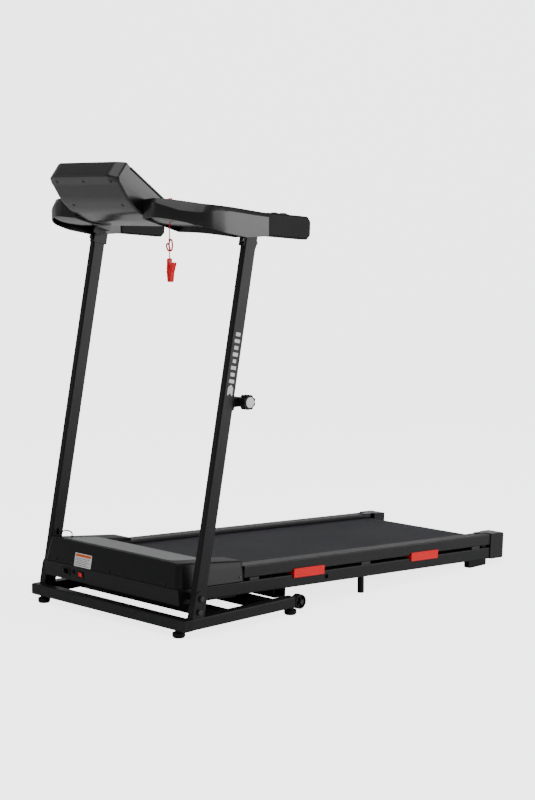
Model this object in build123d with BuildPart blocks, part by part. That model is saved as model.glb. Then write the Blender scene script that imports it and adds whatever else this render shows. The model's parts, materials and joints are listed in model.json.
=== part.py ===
from build123d import *
import os
from math import atan2, cos, degrees, hypot, pi, radians, sin, tan

# A folding home treadmill, in millimetres. +X is the walker's left, -Y the front (console and
# motor hood), +Y the rear end of the belt, +Z up. The origin is on the floor under the middle of
# the whole machine. Distances called "behind" run rearwards from the base's front face.

os.makedirs("parts", exist_ok=True)

# ---------------------------------------------------------------- driving dimensions
FRONT = -656.0                # y of the base's front face
FIT = 0.2                     # gap between two pieces that only touch
BASE_HALF = 320.0             # half the base's width
TUBE = 30.0                   # base tubes are square
TUBE_WALL = 1.5
FOOT_HEIGHT = 20.0
TUBE_TOP = FOOT_HEIGHT + TUBE
SIDE_TUBE_END = 404.0
CROSS_TUBES_BEHIND = (150.0, 318.0)

UPRIGHT_LEAN = 11.4           # degrees back from vertical
UPRIGHT_WIDTH = 20.0
UPRIGHT_DEPTH = 40.0
UPRIGHT_OUTER = 317.0
UPRIGHT_FOOT_BEHIND = 38.4    # where an upright's centre line would meet the floor
UPRIGHT_TOP = 1034.0
EAR_THICK = 3.0

PIVOT_Z = 100.0               # the deck's pivot bolt
LOWER_BOLT_Z = 66.0
PIVOT_BEHIND = UPRIGHT_FOOT_BEHIND + PIVOT_Z * tan(radians(UPRIGHT_LEAN))
BOLT = 5.0                    # radius of the large bolts
BOLT_HEAD = 9.0
DECK_SLOPE = 3.0              # degrees down to the rear

RAIL_OUTER = 272.0            # deck rails: outer face
RAIL_INNER = 247.0
RAIL_TOP = 18.0               # heights in the deck's own frame, from the pivot axis
RAIL_BOTTOM = -17.0
RAIL_FRONT = -22.0            # lengths in the deck's own frame, from the pivot axis
RAIL_END = 1256.0
STEP_TOP = 59.0               # foot rails
STEP_BOTTOM = 26.0
STEP_INNER = 225.0
STEP_LIP = 50.0               # the inner lip hangs this high, just over the belt
STEP_FRONT = 199.0
BOARD_HALF = 262.0
BOARD_FRONT = 112.0
BOARD_REAR = 1215.0
BOARD_BOTTOM = 31.0
BOARD_TOP = 46.0
BELT_THICK = 1.6
BELT_HALF = 228.0
ROLLER = 21.0
ROLLER_HALF = 226.0
BELT_GAP = 0.3
ROLLER_H = BOARD_TOP + 0.3 - BELT_GAP - ROLLER
FRONT_ROLLER = 85.0
REAR_ROLLER = 1243.0
AXLE = 7.0

CAP_OUTER = 275.0             # rear caps, in the deck's frame
CAP_INNER = 219.0
CAP_END = 1319.0
CAP_LOW = -18.0
CAP_TOP = 61.0
CAP_EDGE = 5.0

LOCK_BEHIND = 213.0           # axis of the folding lock, behind the left upright
LOCK_Z = 597.0
PIN = 5.0

HOOD_SEAM = 20.0              # hood above, pan below, in the deck's frame
HOOD_HALF = 279.0
HOOD_FRONT = -45.2
HOOD_REAR = 197.0
HOOD_MIDDLE_REAR = 110.0
HOOD_POD_INNER = 190.0
HOOD_SIDE_DRAFT = 0.18        # inwards for each unit of height
HOOD_FRONT_DRAFT = 0.132
HOOD_TOP_FRONT = 86.7
HOOD_TOP_SLOPE = 0.054
HOOD_WALL = 2.5
PAN_BOTTOM = -22.0
PAN_REAR = 178.0
PAN_HALF = 262.0

CONSOLE_HALF = 139.0
CONSOLE_WALL = 2.5
BEZEL_THICK = 3.0
ARM_OUTER = 320.0
ARM_INNER = 280.0
ARM_END = 303.0
GRIP_OUTER = 311.0
GRIP_INNER = 278.0

MOTOR = 36.0
MOTOR_S = 8.0                 # motor shaft, in the deck's frame
MOTOR_H = 28.0
MOTOR_PULLEY = 13.0
ROLLER_PULLEY = 24.0
PULLEY_INNER = 230.0
PULLEY_OUTER = 243.0

SIDES = (("left", 1), ("right", -1))
FLOOR_CUT = 400.0             # half size of the blocks used to trim a shape flat

# ---------------------------------------------------------------- frames and helpers
lean = radians(UPRIGHT_LEAN)
slope = radians(DECK_SLOPE)
upright_dir = Vector(0, sin(lean), cos(lean))
deck = Plane(
    origin=(0, FRONT + PIVOT_BEHIND, PIVOT_Z),
    x_dir=(1, 0, 0),
    z_dir=(0, sin(slope), cos(slope)),
)


def at(behind):
    """The y of a point so far behind the base's front face."""
    return FRONT + behind


def on_deck(x, s, h):
    """A point given across, along and above the deck's pivot axis."""
    return deck.from_local_coords(Vector(x, s, h))


def across(x, behind, z):
    """A plane facing +X at a point, with its own x axis rearwards and y axis up."""
    return Plane(origin=(x, at(behind), z), x_dir=(0, 1, 0), z_dir=(1, 0, 0))


def deck_across(x, s=0.0, h=0.0):
    """The same on the deck: own x axis along the deck, own y axis up from it."""
    return Plane(origin=on_deck(x, s, h), x_dir=deck.y_dir, z_dir=(1, 0, 0))


def deck_face(x, low, high, rise):
    """A plane on a front wall that runs from low (s, h) to high, so far up it, facing forwards."""
    length = hypot(high[0] - low[0], high[1] - low[1])
    up_s = (high[0] - low[0]) / length
    up_h = (high[1] - low[1]) / length
    up = deck.y_dir * up_s + deck.z_dir * up_h
    spot = on_deck(x, low[0] + up_s * rise, low[1] + up_h * rise)
    return Plane(origin=spot, x_dir=(1, 0, 0), z_dir=Vector(1, 0, 0).cross(up))


def block(plane, low, high, radius=0.0, along=Axis.X):
    """A block between two corners given in the plane's own coordinates."""
    size = [abs(b - a) for a, b in zip(low, high)]
    middle = [(a + b) / 2 for a, b in zip(low, high)]
    with BuildPart(plane) as solid:
        with Locations(tuple(middle)):
            Box(*size)
        if radius:
            fillet(solid.edges().filter_by(along), radius)
    return solid.part


def tube_block(plane, low, high, wall, radius, axis_index, along):
    """A rectangular tube between two corners, open at both ends of one of its axes."""
    start = [min(a, b) for a, b in zip(low, high)]
    end = [max(a, b) for a, b in zip(low, high)]
    inner_low = [a + wall for a in start]
    inner_high = [b - wall for b in end]
    inner_low[axis_index] = start[axis_index] - 1
    inner_high[axis_index] = end[axis_index] + 1
    with BuildPart() as solid:
        add(block(plane, start, end, radius, along))
        add(block(plane, inner_low, inner_high), mode=Mode.SUBTRACT)
    return solid.part


def rod(plane, radius, length, bore=0.0, edge=0.0):
    """A round bar that starts on a plane and runs along its normal, bored or with soft ends."""
    with BuildPart(plane) as solid:
        Cylinder(radius, length, align=(Align.CENTER, Align.CENTER, Align.MIN))
        if edge:
            fillet(solid.edges(), edge)
        if bore:
            Cylinder(bore, length, align=(Align.CENTER, Align.CENTER, Align.MIN), mode=Mode.SUBTRACT)
    return solid.part


def hexagon(plane, radius, height):
    """A bolt head or nut that starts on a plane."""
    with BuildPart() as solid:
        with BuildSketch(plane):
            RegularPolygon(radius, 6)
        extrude(amount=height)
        chamfer(solid.faces().sort_by(Axis(plane.origin, plane.z_dir))[-1].edges(), height * 0.15)
    return solid.part


def bolt(head_plane, radius, head, head_height, length):
    """A bolt whose head stands on a plane and whose shank runs back from it."""
    shank = Plane(origin=head_plane.origin, x_dir=head_plane.x_dir, z_dir=-head_plane.z_dir)
    with BuildPart() as solid:
        add(hexagon(head_plane, head, head_height))
        add(rod(shank, radius, length))
    return solid.part


def profile(plane, points, depth, radius=0.0, both=False):
    """A closed outline of straight sides, extruded, with its corners rounded if asked."""
    with BuildPart() as solid:
        with BuildSketch(plane) as outline:
            with BuildLine():
                Polyline(*points, close=True)
            make_face()
            if radius:
                fillet(outline.vertices(), radius)
        extrude(amount=depth, both=both)
    return solid.part


def route(points):
    """A path of straight runs joined by the largest arcs that the runs allow."""
    spots = [Vector(*p) for p in points]
    radii = []
    for before, corner, after in zip(spots, spots[1:], spots[2:]):
        turn = radians((corner - before).get_angle(after - corner))
        run = min((corner - before).length, (after - corner).length)
        radii.append(0.45 * run / tan(turn / 2))
    with BuildLine() as path:
        FilletPolyline(*spots, radius=radii)
    return path.wires()[0], radii


def round_cord(points, radius, name):
    """A round cord along a route; prints its radii, and its volume over section times length."""
    path, radii = route(points)
    heading = Vector(*points[1]) - Vector(*points[0])
    with BuildPart() as solid:
        with BuildSketch(Plane(origin=points[0], z_dir=heading)):
            Circle(radius)
        sweep(path=path)
    fill = solid.part.volume / (pi * radius**2 * path.length)
    print(name, "length", round(path.length, 1), "fill", round(fill, 3), [round(r, 1) for r in radii])
    return solid.part


def finish(builder, name):
    """Label a finished piece and write it."""
    builder.part.label = name
    export_step(builder.part, f"parts/{name}.step")


# ---------------------------------------------------------------- base
with BuildPart() as base_front_tube:
    low = (-BASE_HALF + 2, at(0), FOOT_HEIGHT)
    high = (BASE_HALF - 2, at(TUBE), TUBE_TOP)
    add(tube_block(Plane.XY, low, high, TUBE_WALL, 3, 0, Axis.X))
finish(base_front_tube, "base_front_tube")

CAP_PLUG = 14.0               # how deep an end cap reaches into the tube
with BuildPart() as base_end_caps:
    for _, side in SIDES:
        low = (side * (BASE_HALF - 2), at(0), FOOT_HEIGHT)
        high = (side * BASE_HALF, at(TUBE), TUBE_TOP)
        add(block(Plane.XY, low, high, 3))
        inset = TUBE_WALL + FIT
        low = (side * (BASE_HALF - CAP_PLUG), at(inset), FOOT_HEIGHT + inset)
        high = (side * (BASE_HALF - 2), at(TUBE - inset), TUBE_TOP - inset)
        add(block(Plane.XY, low, high))
finish(base_end_caps, "base_end_caps")

with BuildPart() as base_cross_tubes:
    for behind in CROSS_TUBES_BEHIND:
        low = (-BASE_HALF + TUBE, at(behind), FOOT_HEIGHT)
        high = (BASE_HALF - TUBE, at(behind + TUBE), TUBE_TOP)
        add(tube_block(Plane.XY, low, high, TUBE_WALL, 3, 0, Axis.X))
finish(base_cross_tubes, "base_cross_tubes")

FOOT_RADIUS = 17.0
FOOT_TAPER = 4.0              # height of the tapered sole
FOOT_PAD = 13.0               # height of sole and pad together
FRONT_FOOT = (282.0, 14.0)
REAR_FOOT = (305.0, 400.0)
with BuildPart() as base_feet:
    for x, behind in (FRONT_FOOT, REAR_FOOT):
        for _, side in SIDES:
            spot = Plane(origin=(side * x, at(behind), 0))
            with BuildSketch(spot):
                Circle(FOOT_RADIUS - 3)
            with BuildSketch(spot.offset(FOOT_TAPER)):
                Circle(FOOT_RADIUS)
            loft()
            add(rod(spot.offset(FOOT_TAPER), FOOT_RADIUS, FOOT_PAD - FOOT_TAPER))
            add(rod(spot.offset(FOOT_PAD), FOOT_RADIUS - 7, FOOT_HEIGHT - FOOT_PAD))
finish(base_feet, "base_feet")

WHEEL = 20.5
WHEEL_BEHIND = 428.0
WHEEL_Z = 32.0
WHEEL_X = (297.0, 319.0)
WHEEL_AXLE = 4.0
WHEEL_PLATE = 4.0             # thickness of the plate that holds a wheel's bolt
WHEEL_PLATE_X = 293.5
WHEEL_BORE_GAP = 0.05
for side_name, side in SIDES:
    with BuildPart() as wheel:
        inner = Plane(origin=(side * WHEEL_X[0], at(WHEEL_BEHIND), WHEEL_Z), z_dir=(side, 0, 0))
        add(rod(inner, WHEEL, WHEEL_X[1] - WHEEL_X[0], WHEEL_AXLE + WHEEL_BORE_GAP, 2))
    finish(wheel, f"wheel_{side_name}")

# ---------------------------------------------------------------- uprights
upright_mid = UPRIGHT_OUTER - UPRIGHT_WIDTH / 2
bolt_heights = (LOWER_BOLT_Z, PIVOT_Z)


def axis_behind(z):
    """How far behind the front face an upright's centre line is at a height."""
    return UPRIGHT_FOOT_BEHIND + z * tan(lean)


def upright_plane(x, z):
    """A plane across an upright: own z axis up its centre line, own y axis rearwards."""
    return Plane(origin=(x, at(axis_behind(z)), z), x_dir=(1, 0, 0), z_dir=upright_dir)


CABLE_EXIT_Z = 190.0
TOP_BOLT_Z = 1012.0
for side_name, side in SIDES:
    with BuildPart() as upright:
        foot = upright_plane(side * upright_mid, 0)
        low = (-UPRIGHT_WIDTH / 2, -UPRIGHT_DEPTH / 2, 40)
        high = (UPRIGHT_WIDTH / 2, UPRIGHT_DEPTH / 2, UPRIGHT_TOP / cos(lean))
        add(tube_block(foot, low, high, TUBE_WALL, 4, 2, Axis((0, 0, 0), upright_dir)))
        low = (-FLOOR_CUT, at(-FLOOR_CUT), -10)
        high = (FLOOR_CUT, at(FLOOR_CUT), TUBE_TOP)
        add(block(Plane.XY, low, high), mode=Mode.SUBTRACT)
        for z in bolt_heights:
            hole = across(side * upright_mid - UPRIGHT_WIDTH, axis_behind(z), z)
            add(rod(hole, BOLT + FIT, 2 * UPRIGHT_WIDTH), mode=Mode.SUBTRACT)
        top_hole = upright_plane(side * upright_mid, TOP_BOLT_Z)
        bore = Plane(origin=top_hole.origin - top_hole.y_dir * UPRIGHT_DEPTH, z_dir=top_hole.y_dir)
        add(rod(bore, 4 + FIT, 2 * UPRIGHT_DEPTH), mode=Mode.SUBTRACT)
        if side < 0:
            exit_at = across(-upright_mid, axis_behind(CABLE_EXIT_Z), CABLE_EXIT_Z)
            add(block(exit_at, (-4, -8, 0), (4, 10, UPRIGHT_WIDTH)), mode=Mode.SUBTRACT)
    finish(upright, f"upright_{side_name}")

# Each side tube carries a welded ear for the upright and a welded plate for the wheel.
with BuildPart() as base_side_tubes:
    for _, side in SIDES:
        inner_x = UPRIGHT_OUTER if side > 0 else -BASE_HALF
        with BuildSketch(Plane.YZ.offset(inner_x)):
            SlotCenterPoint(
                (at(axis_behind((TUBE_TOP + PIVOT_Z) / 2)), (TUBE_TOP + PIVOT_Z) / 2),
                (at(axis_behind(PIVOT_Z)), PIVOT_Z),
                UPRIGHT_DEPTH,
            )
        extrude(amount=EAR_THICK)
        for z in bolt_heights:
            hole = across(inner_x - 1, axis_behind(z), z)
            add(rod(hole, BOLT + FIT, EAR_THICK + 2), mode=Mode.SUBTRACT)
    low = (-FLOOR_CUT, at(-FLOOR_CUT), -10)
    high = (FLOOR_CUT, at(FLOOR_CUT), TUBE_TOP)
    add(block(Plane.XY, low, high), mode=Mode.SUBTRACT)
    for _, side in SIDES:
        low = (side * (BASE_HALF - TUBE), at(TUBE), FOOT_HEIGHT)
        high = (side * BASE_HALF, at(SIDE_TUBE_END), TUBE_TOP)
        add(tube_block(Plane.XY, low, high, TUBE_WALL, 3, 1, Axis.Y))
        plate = across(side * WHEEL_PLATE_X - WHEEL_PLATE / 2, WHEEL_BEHIND, WHEEL_Z)
        with BuildSketch(plate):
            with Locations((-25, 3)):
                Rectangle(50, 20)
            Circle(3 * WHEEL_AXLE)
        extrude(amount=WHEEL_PLATE)
        hole = plate.offset(-1)
        add(rod(hole, WHEEL_AXLE + 0.1, WHEEL_PLATE + 2), mode=Mode.SUBTRACT)
finish(base_side_tubes, "base_side_tubes")

HEAD_HEIGHT = 5.5
WHEEL_HEAD = 7.0
TOP_BOLT = 4.0
BRACKET_THICK = 2.5


def side_plane(x, behind, z, facing):
    """A plane that faces out along +X or -X at a point."""
    return Plane(origin=(x, at(behind), z), x_dir=(0, 1, 0), z_dir=(facing, 0, 0))


with BuildPart() as frame_bolts:
    for _, side in SIDES:
        for z, reach, nut_x in (
            (LOWER_BOLT_Z, 30.0, UPRIGHT_OUTER - UPRIGHT_WIDTH - FIT),
            (PIVOT_Z, 80.0, RAIL_INNER - 0.5),
        ):
            face = side_plane(side * (BASE_HALF + FIT), axis_behind(z), z, side)
            add(bolt(face, BOLT, BOLT_HEAD, HEAD_HEIGHT, reach))
            add(hexagon(side_plane(side * nut_x, axis_behind(z), z, -side), BOLT_HEAD - 1, 6))
        face = side_plane(side * (WHEEL_X[1] + 0.4), WHEEL_BEHIND, WHEEL_Z, side)
        add(bolt(face, WHEEL_AXLE, WHEEL_HEAD, 3.5, 32))
        spot = upright_plane(side * upright_mid, TOP_BOLT_Z)
        reach = UPRIGHT_DEPTH / 2 + 2 * FIT + BRACKET_THICK
        front = Plane(origin=spot.origin - spot.y_dir * reach, z_dir=-spot.y_dir)
        add(bolt(front, TOP_BOLT, WHEEL_HEAD, 5, 2 * reach + 4))
        rear = Plane(origin=spot.origin + spot.y_dir * reach, z_dir=spot.y_dir)
        add(hexagon(rear, WHEEL_HEAD, 5))
        spacer_x = RAIL_OUTER + 0.4
        length = UPRIGHT_OUTER - UPRIGHT_WIDTH - FIT - spacer_x
        start = spacer_x if side > 0 else -spacer_x - length
        add(rod(across(start, PIVOT_BEHIND, PIVOT_Z), BOLT_HEAD, length))
finish(frame_bolts, "frame_bolts")

# ---------------------------------------------------------------- folding lock
SLEEVE_X = (279.0, 308.0)
SLEEVE = 12.0
SLEEVE_BORE = 8.3
KNOB_X = (318.0, 341.0)
KNOB = 20.0
upright_rear = axis_behind(LOCK_Z) + UPRIGHT_DEPTH / 2 / cos(lean)
with BuildPart() as lock_bracket:
    low = (UPRIGHT_OUTER - UPRIGHT_WIDTH + 1, at(upright_rear + 3.2), LOCK_Z - 13)
    high = (SLEEVE_X[1], at(LOCK_BEHIND), LOCK_Z + 11)
    add(block(Plane.XY, low, high))
    wrap = upright_plane(upright_mid, LOCK_Z)
    low = (-UPRIGHT_WIDTH / 2 + 1, UPRIGHT_DEPTH / 2 + FIT, -16)
    high = (UPRIGHT_WIDTH / 2 - 1, UPRIGHT_DEPTH / 2 + 4, 16)
    add(block(wrap, low, high))
    add(rod(across(SLEEVE_X[0], LOCK_BEHIND, LOCK_Z), SLEEVE, SLEEVE_X[1] - SLEEVE_X[0]))
    bore_start = SLEEVE_X[0] + 5
    bore = across(bore_start, LOCK_BEHIND, LOCK_Z)
    add(rod(bore, SLEEVE_BORE, SLEEVE_X[1] - 3 - bore_start), mode=Mode.SUBTRACT)
    through = across(SLEEVE_X[0] - 1, LOCK_BEHIND, LOCK_Z)
    add(rod(through, PIN + 0.08, SLEEVE_X[1] - SLEEVE_X[0] + 2), mode=Mode.SUBTRACT)
finish(lock_bracket, "lock_bracket")

COLLAR_X = (294.0, 297.0)
PIN_END = 334.0
with BuildPart() as lock_pin:
    pin_start = RAIL_OUTER + 1
    add(rod(across(pin_start, LOCK_BEHIND, LOCK_Z), PIN, PIN_END - pin_start, edge=1.5))
    add(rod(across(COLLAR_X[0], LOCK_BEHIND, LOCK_Z), SLEEVE_BORE - 0.5, COLLAR_X[1] - COLLAR_X[0]))
finish(lock_pin, "lock_pin")

SPRING_WIRE = 0.8
SPRING_PITCH = 1.8
SPRING_TURNS = 3
with BuildPart() as lock_spring:
    start = across(COLLAR_X[1] + 1, LOCK_BEHIND, LOCK_Z)
    coil = SLEEVE_BORE - 1.5
    with BuildLine():
        helix = Helix(
            pitch=SPRING_PITCH,
            height=SPRING_PITCH * SPRING_TURNS,
            radius=coil,
            center=start.origin,
            direction=start.z_dir,
        )
    with BuildSketch(Plane(origin=helix @ 0, z_dir=helix % 0)):
        Circle(SPRING_WIRE)
    sweep(path=helix, is_frenet=True)
finish(lock_spring, "lock_spring")

KNOB_FLUTES = 8
KNOB_FLUTE = 6.0              # radius of each flute
KNOB_HUB = (11.0, 3.0)        # radius and height of the hub towards the sleeve
with BuildPart() as lock_knob:
    start = across(KNOB_X[0], LOCK_BEHIND, LOCK_Z)
    with BuildSketch(start) as knob_outline:
        Circle(KNOB)
        with PolarLocations(KNOB + KNOB_FLUTE - 2.5, KNOB_FLUTES):
            Circle(KNOB_FLUTE, mode=Mode.SUBTRACT)
        fillet(knob_outline.vertices(), 1.5)
    extrude(amount=KNOB_X[1] - KNOB_X[0])
    add(rod(start.offset(-KNOB_HUB[1]), *KNOB_HUB))
    add(rod(start.offset(-4), PIN, PIN_END - KNOB_X[0] + 4), mode=Mode.SUBTRACT)
    add(rod(start.offset(KNOB_X[1] - KNOB_X[0]), 11.3, 1.2))
finish(lock_knob, "lock_knob")

# ---------------------------------------------------------------- deck frame
lock_distance = hypot(LOCK_BEHIND - PIVOT_BEHIND, LOCK_Z - PIVOT_Z)
fold_angle = degrees(atan2(LOCK_Z - PIVOT_Z, LOCK_BEHIND - PIVOT_BEHIND)) + DECK_SLOPE
print("fold angle", round(fold_angle, 2), "lock hole", round(lock_distance, 1))
deck_length_axis = Axis((0, 0, 0), deck.y_dir)
BUSH = 8.0
BRACKET_X = (249.0, 261.0)
ROLLER_SPOTS = (FRONT_ROLLER, REAR_ROLLER)
with BuildPart() as deck_rails:
    for _, side in SIDES:
        low = (side * RAIL_INNER, RAIL_FRONT, RAIL_BOTTOM)
        high = (side * RAIL_OUTER, RAIL_END, RAIL_TOP)
        add(tube_block(deck, low, high, TUBE_WALL, 3, 1, deck_length_axis))
        hole_start = RAIL_INNER - 1 if side > 0 else -RAIL_OUTER - 1
        add(rod(deck_across(hole_start), BUSH, RAIL_OUTER - RAIL_INNER + 2), mode=Mode.SUBTRACT)
        for s in ROLLER_SPOTS:
            low = (side * BRACKET_X[0], s - 12, RAIL_TOP)
            high = (side * BRACKET_X[1], s + 12, ROLLER_H + 12)
            add(block(deck, low, high))
            hole_start = BRACKET_X[0] - 1 if side > 0 else -BRACKET_X[1] - 1
            hole = deck_across(hole_start, s, ROLLER_H)
            add(rod(hole, AXLE + 0.1, BRACKET_X[1] - BRACKET_X[0] + 2), mode=Mode.SUBTRACT)
    lock_hole = deck_across(RAIL_OUTER - 5, lock_distance)
    add(rod(lock_hole, PIN + 1.2, 10), mode=Mode.SUBTRACT)
finish(deck_rails, "deck_rails")

with BuildPart() as pivot_bushes:
    for _, side in SIDES:
        start = RAIL_INNER if side > 0 else -RAIL_OUTER
        add(rod(deck_across(start), BUSH, RAIL_OUTER - RAIL_INNER, BOLT + 0.05))
finish(pivot_bushes, "pivot_bushes")

DECK_TUBES_S = (300.0, 700.0, 1100.0)
BEAM_S = (323.0, 368.0)
BEAM_HALF = 262.0
BEAM_BOTTOM = -42.0
with BuildPart() as deck_cross_members:
    for s in DECK_TUBES_S:
        add(tube_block(deck, (-RAIL_INNER, s, 8), (RAIL_INNER, s + 30, 27), TUBE_WALL, 2, 0, Axis.X))
    low = (-BEAM_HALF, BEAM_S[0], BEAM_BOTTOM)
    high = (BEAM_HALF, BEAM_S[1], RAIL_BOTTOM)
    add(tube_block(deck, low, high, 2, 3, 0, Axis.X))
finish(deck_cross_members, "deck_cross_members")

with BuildPart() as running_board:
    low = (-BOARD_HALF, BOARD_FRONT, BOARD_BOTTOM)
    add(block(deck, low, (BOARD_HALF, BOARD_REAR, BOARD_TOP)))
finish(running_board, "running_board")

with BuildPart() as foot_rails:
    for _, side in SIDES:
        low = (side * STEP_INNER, STEP_FRONT, STEP_BOTTOM)
        high = (side * RAIL_OUTER, RAIL_END, STEP_TOP)
        add(block(deck, low, high, 3, deck_length_axis))
        low = (side * (STEP_INNER - 1), STEP_FRONT - 1, STEP_BOTTOM - 1)
        high = (side * (RAIL_OUTER - 3), RAIL_END + 1, STEP_LIP)
        add(block(deck, low, high), mode=Mode.SUBTRACT)
        low = (side * (STEP_INNER + 2.5), STEP_FRONT - 1, STEP_LIP - 1)
        high = (side * (RAIL_OUTER - 3), RAIL_END + 1, STEP_TOP - 3)
        add(block(deck, low, high), mode=Mode.SUBTRACT)
finish(foot_rails, "foot_rails")

# Each cushion is a pad between rail and board with a flange that shows on the rail's side.
PAD_INNER = 250.0
PAD_OUTER = 268.8
CUSHION_S = ((386.0, 507.0), (880.0, 1001.0))
with BuildPart() as shock_cushions:
    for s_low, s_high in CUSHION_S:
        for _, side in SIDES:
            low = (side * PAD_INNER, s_low, RAIL_TOP)
            high = (side * PAD_OUTER, s_high, BOARD_BOTTOM)
            add(block(deck, low, high))
            low = (side * PAD_OUTER, s_low, RAIL_TOP)
            high = (side * (RAIL_OUTER + FIT), s_high, STEP_BOTTOM)
            add(block(deck, low, high))
            low = (side * (RAIL_OUTER + FIT), s_low, 9)
            high = (side * 276, s_high, 34)
            add(block(deck, low, high, 3))
finish(shock_cushions, "shock_cushions")

SPACER_S = ((221.0, 255.0), (667.0, 703.0), (1170.0, 1207.0))
with BuildPart() as board_spacers:
    for s_low, s_high in SPACER_S:
        for _, side in SIDES:
            low = (side * PAD_INNER, s_low, RAIL_TOP)
            add(block(deck, low, (side * PAD_OUTER, s_high, BOARD_BOTTOM)))
            low = (side * PAD_OUTER, s_low, RAIL_TOP)
            add(block(deck, low, (side * 271, s_high, STEP_BOTTOM)))
finish(board_spacers, "board_spacers")

LEG = 9.5
LEG_SPOT = (259.0, 735.0)
REAR_FOOT_BEHIND = (1216.0, 1299.0)
with BuildPart() as deck_feet:
    for _, side in SIDES:
        spot = Plane(origin=(side * LEG_SPOT[0], at(LEG_SPOT[1]), 0))
        add(rod(spot, LEG, 60, edge=1))
        low = (side * 250, at(REAR_FOOT_BEHIND[0]), 0)
        high = (side * 269, at(REAR_FOOT_BEHIND[1]), 30)
        add(block(Plane.XY, low, high, 5, Axis.X))
    add(block(deck, (-300, 400, RAIL_BOTTOM), (300, 1400, 60)), mode=Mode.SUBTRACT)
finish(deck_feet, "deck_feet")

# ---------------------------------------------------------------- rollers, belt and drive
with BuildPart() as roller_axles:
    for s in ROLLER_SPOTS:
        start = deck_across(-BRACKET_X[1] - 2, s, ROLLER_H)
        add(rod(start, AXLE, 2 * (BRACKET_X[1] + 2), edge=0.5))
finish(roller_axles, "roller_axles")

for name, s in (("front_roller", FRONT_ROLLER), ("rear_roller", REAR_ROLLER)):
    with BuildPart() as roller:
        start = deck_across(-ROLLER_HALF, s, ROLLER_H)
        add(rod(start, ROLLER, 2 * ROLLER_HALF, AXLE + 0.05))
        if name == "front_roller":
            add(rod(deck_across(ROLLER_HALF, s, ROLLER_H), 14, 4, AXLE + 0.05))
            pulley = deck_across(PULLEY_INNER, s, ROLLER_H)
            add(rod(pulley, ROLLER_PULLEY, PULLEY_OUTER - PULLEY_INNER, AXLE + 0.05, 1))
    finish(roller, name)


def loop_band(x_low, x_high, first, second, thick):
    """A closed band round two circles, each given by its place along, its height and radius."""
    (s1, h1, r1), (s2, h2, r2) = first, second
    distance = hypot(s2 - s1, h2 - h1)
    direction = atan2(h2 - h1, s2 - s1)
    open_angle = atan2(r1 - r2, (distance**2 - (r1 - r2) ** 2) ** 0.5)
    with BuildPart() as band:
        for extra, mode in ((thick, Mode.ADD), (0.0, Mode.SUBTRACT)):
            with BuildSketch(deck_across(x_low)):
                ends = []
                for s, h, r in (first, second):
                    for turn in (1, -1):
                        angle = direction + turn * (pi / 2 - open_angle)
                        reach = r + extra
                        ends.append((s + reach * cos(angle), h + reach * sin(angle)))
                with BuildLine():
                    Polyline(ends[0], ends[2], ends[3], ends[1], close=True)
                make_face()
                for s, h, r in (first, second):
                    with Locations((s, h)):
                        Circle(r + extra)
            extrude(amount=x_high - x_low, mode=mode)
    return band.part


with BuildPart() as running_belt:
    loops = [(s, ROLLER_H, ROLLER + BELT_GAP) for s in ROLLER_SPOTS]
    add(loop_band(-BELT_HALF, BELT_HALF, loops[0], loops[1], BELT_THICK))
finish(running_belt, "running_belt")

with BuildPart() as drive_belt:
    small = (MOTOR_S, MOTOR_H, MOTOR_PULLEY + BELT_GAP)
    large = (FRONT_ROLLER, ROLLER_H, ROLLER_PULLEY + BELT_GAP)
    add(loop_band(PULLEY_INNER + 1.5, PULLEY_OUTER - 1.5, small, large, 2.0))
finish(drive_belt, "drive_belt")

MOTOR_X = (-20.0, 150.0)
SHAFT = 5.0
with BuildPart() as motor_can:
    start = deck_across(MOTOR_X[0], MOTOR_S, MOTOR_H)
    add(rod(start, MOTOR, MOTOR_X[1] - MOTOR_X[0], edge=3))
    cavity = deck_across(MOTOR_X[0] + 8, MOTOR_S, MOTOR_H)
    add(rod(cavity, MOTOR - 3, MOTOR_X[1] - MOTOR_X[0] - 16), mode=Mode.SUBTRACT)
    add(rod(deck_across(MOTOR_X[0] - 1, MOTOR_S, MOTOR_H), SHAFT + 0.05, 180), mode=Mode.SUBTRACT)
finish(motor_can, "motor_can")

FAN_BLADES = 7
with BuildPart() as motor_rotor:
    start = deck_across(MOTOR_X[0] - 20, MOTOR_S, MOTOR_H)
    add(rod(start, SHAFT, PULLEY_OUTER + 1 - start.origin.X))
    add(rod(deck_across(MOTOR_X[0] + 20, MOTOR_S, MOTOR_H), MOTOR - 6, 120))
    add(rod(start, 12, 14))
    add(rod(start, MOTOR - 6, 3))
    with BuildSketch(start):
        with PolarLocations(19, FAN_BLADES):
            Rectangle(18, 2)
    extrude(amount=14)
finish(motor_rotor, "motor_rotor")

with BuildPart() as motor_pulley:
    start = deck_across(PULLEY_INNER, MOTOR_S, MOTOR_H)
    add(rod(start, MOTOR_PULLEY, PULLEY_OUTER - PULLEY_INNER, SHAFT, 1))
finish(motor_pulley, "motor_pulley")

PLATE_TOP = -14.0
with BuildPart() as motor_mount:
    add(block(deck, (-RAIL_INNER + FIT, -20, -17), (RAIL_INNER - FIT, 50, PLATE_TOP)))
    for x in (0.0, 116.0):
        add(block(deck, (x, -20, PLATE_TOP), (x + 12, 36, 12)))
    keep_out = deck_across(MOTOR_X[0] - 1, MOTOR_S, MOTOR_H)
    add(rod(keep_out, MOTOR + 0.1, 180), mode=Mode.SUBTRACT)
finish(motor_mount, "motor_mount")

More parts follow.
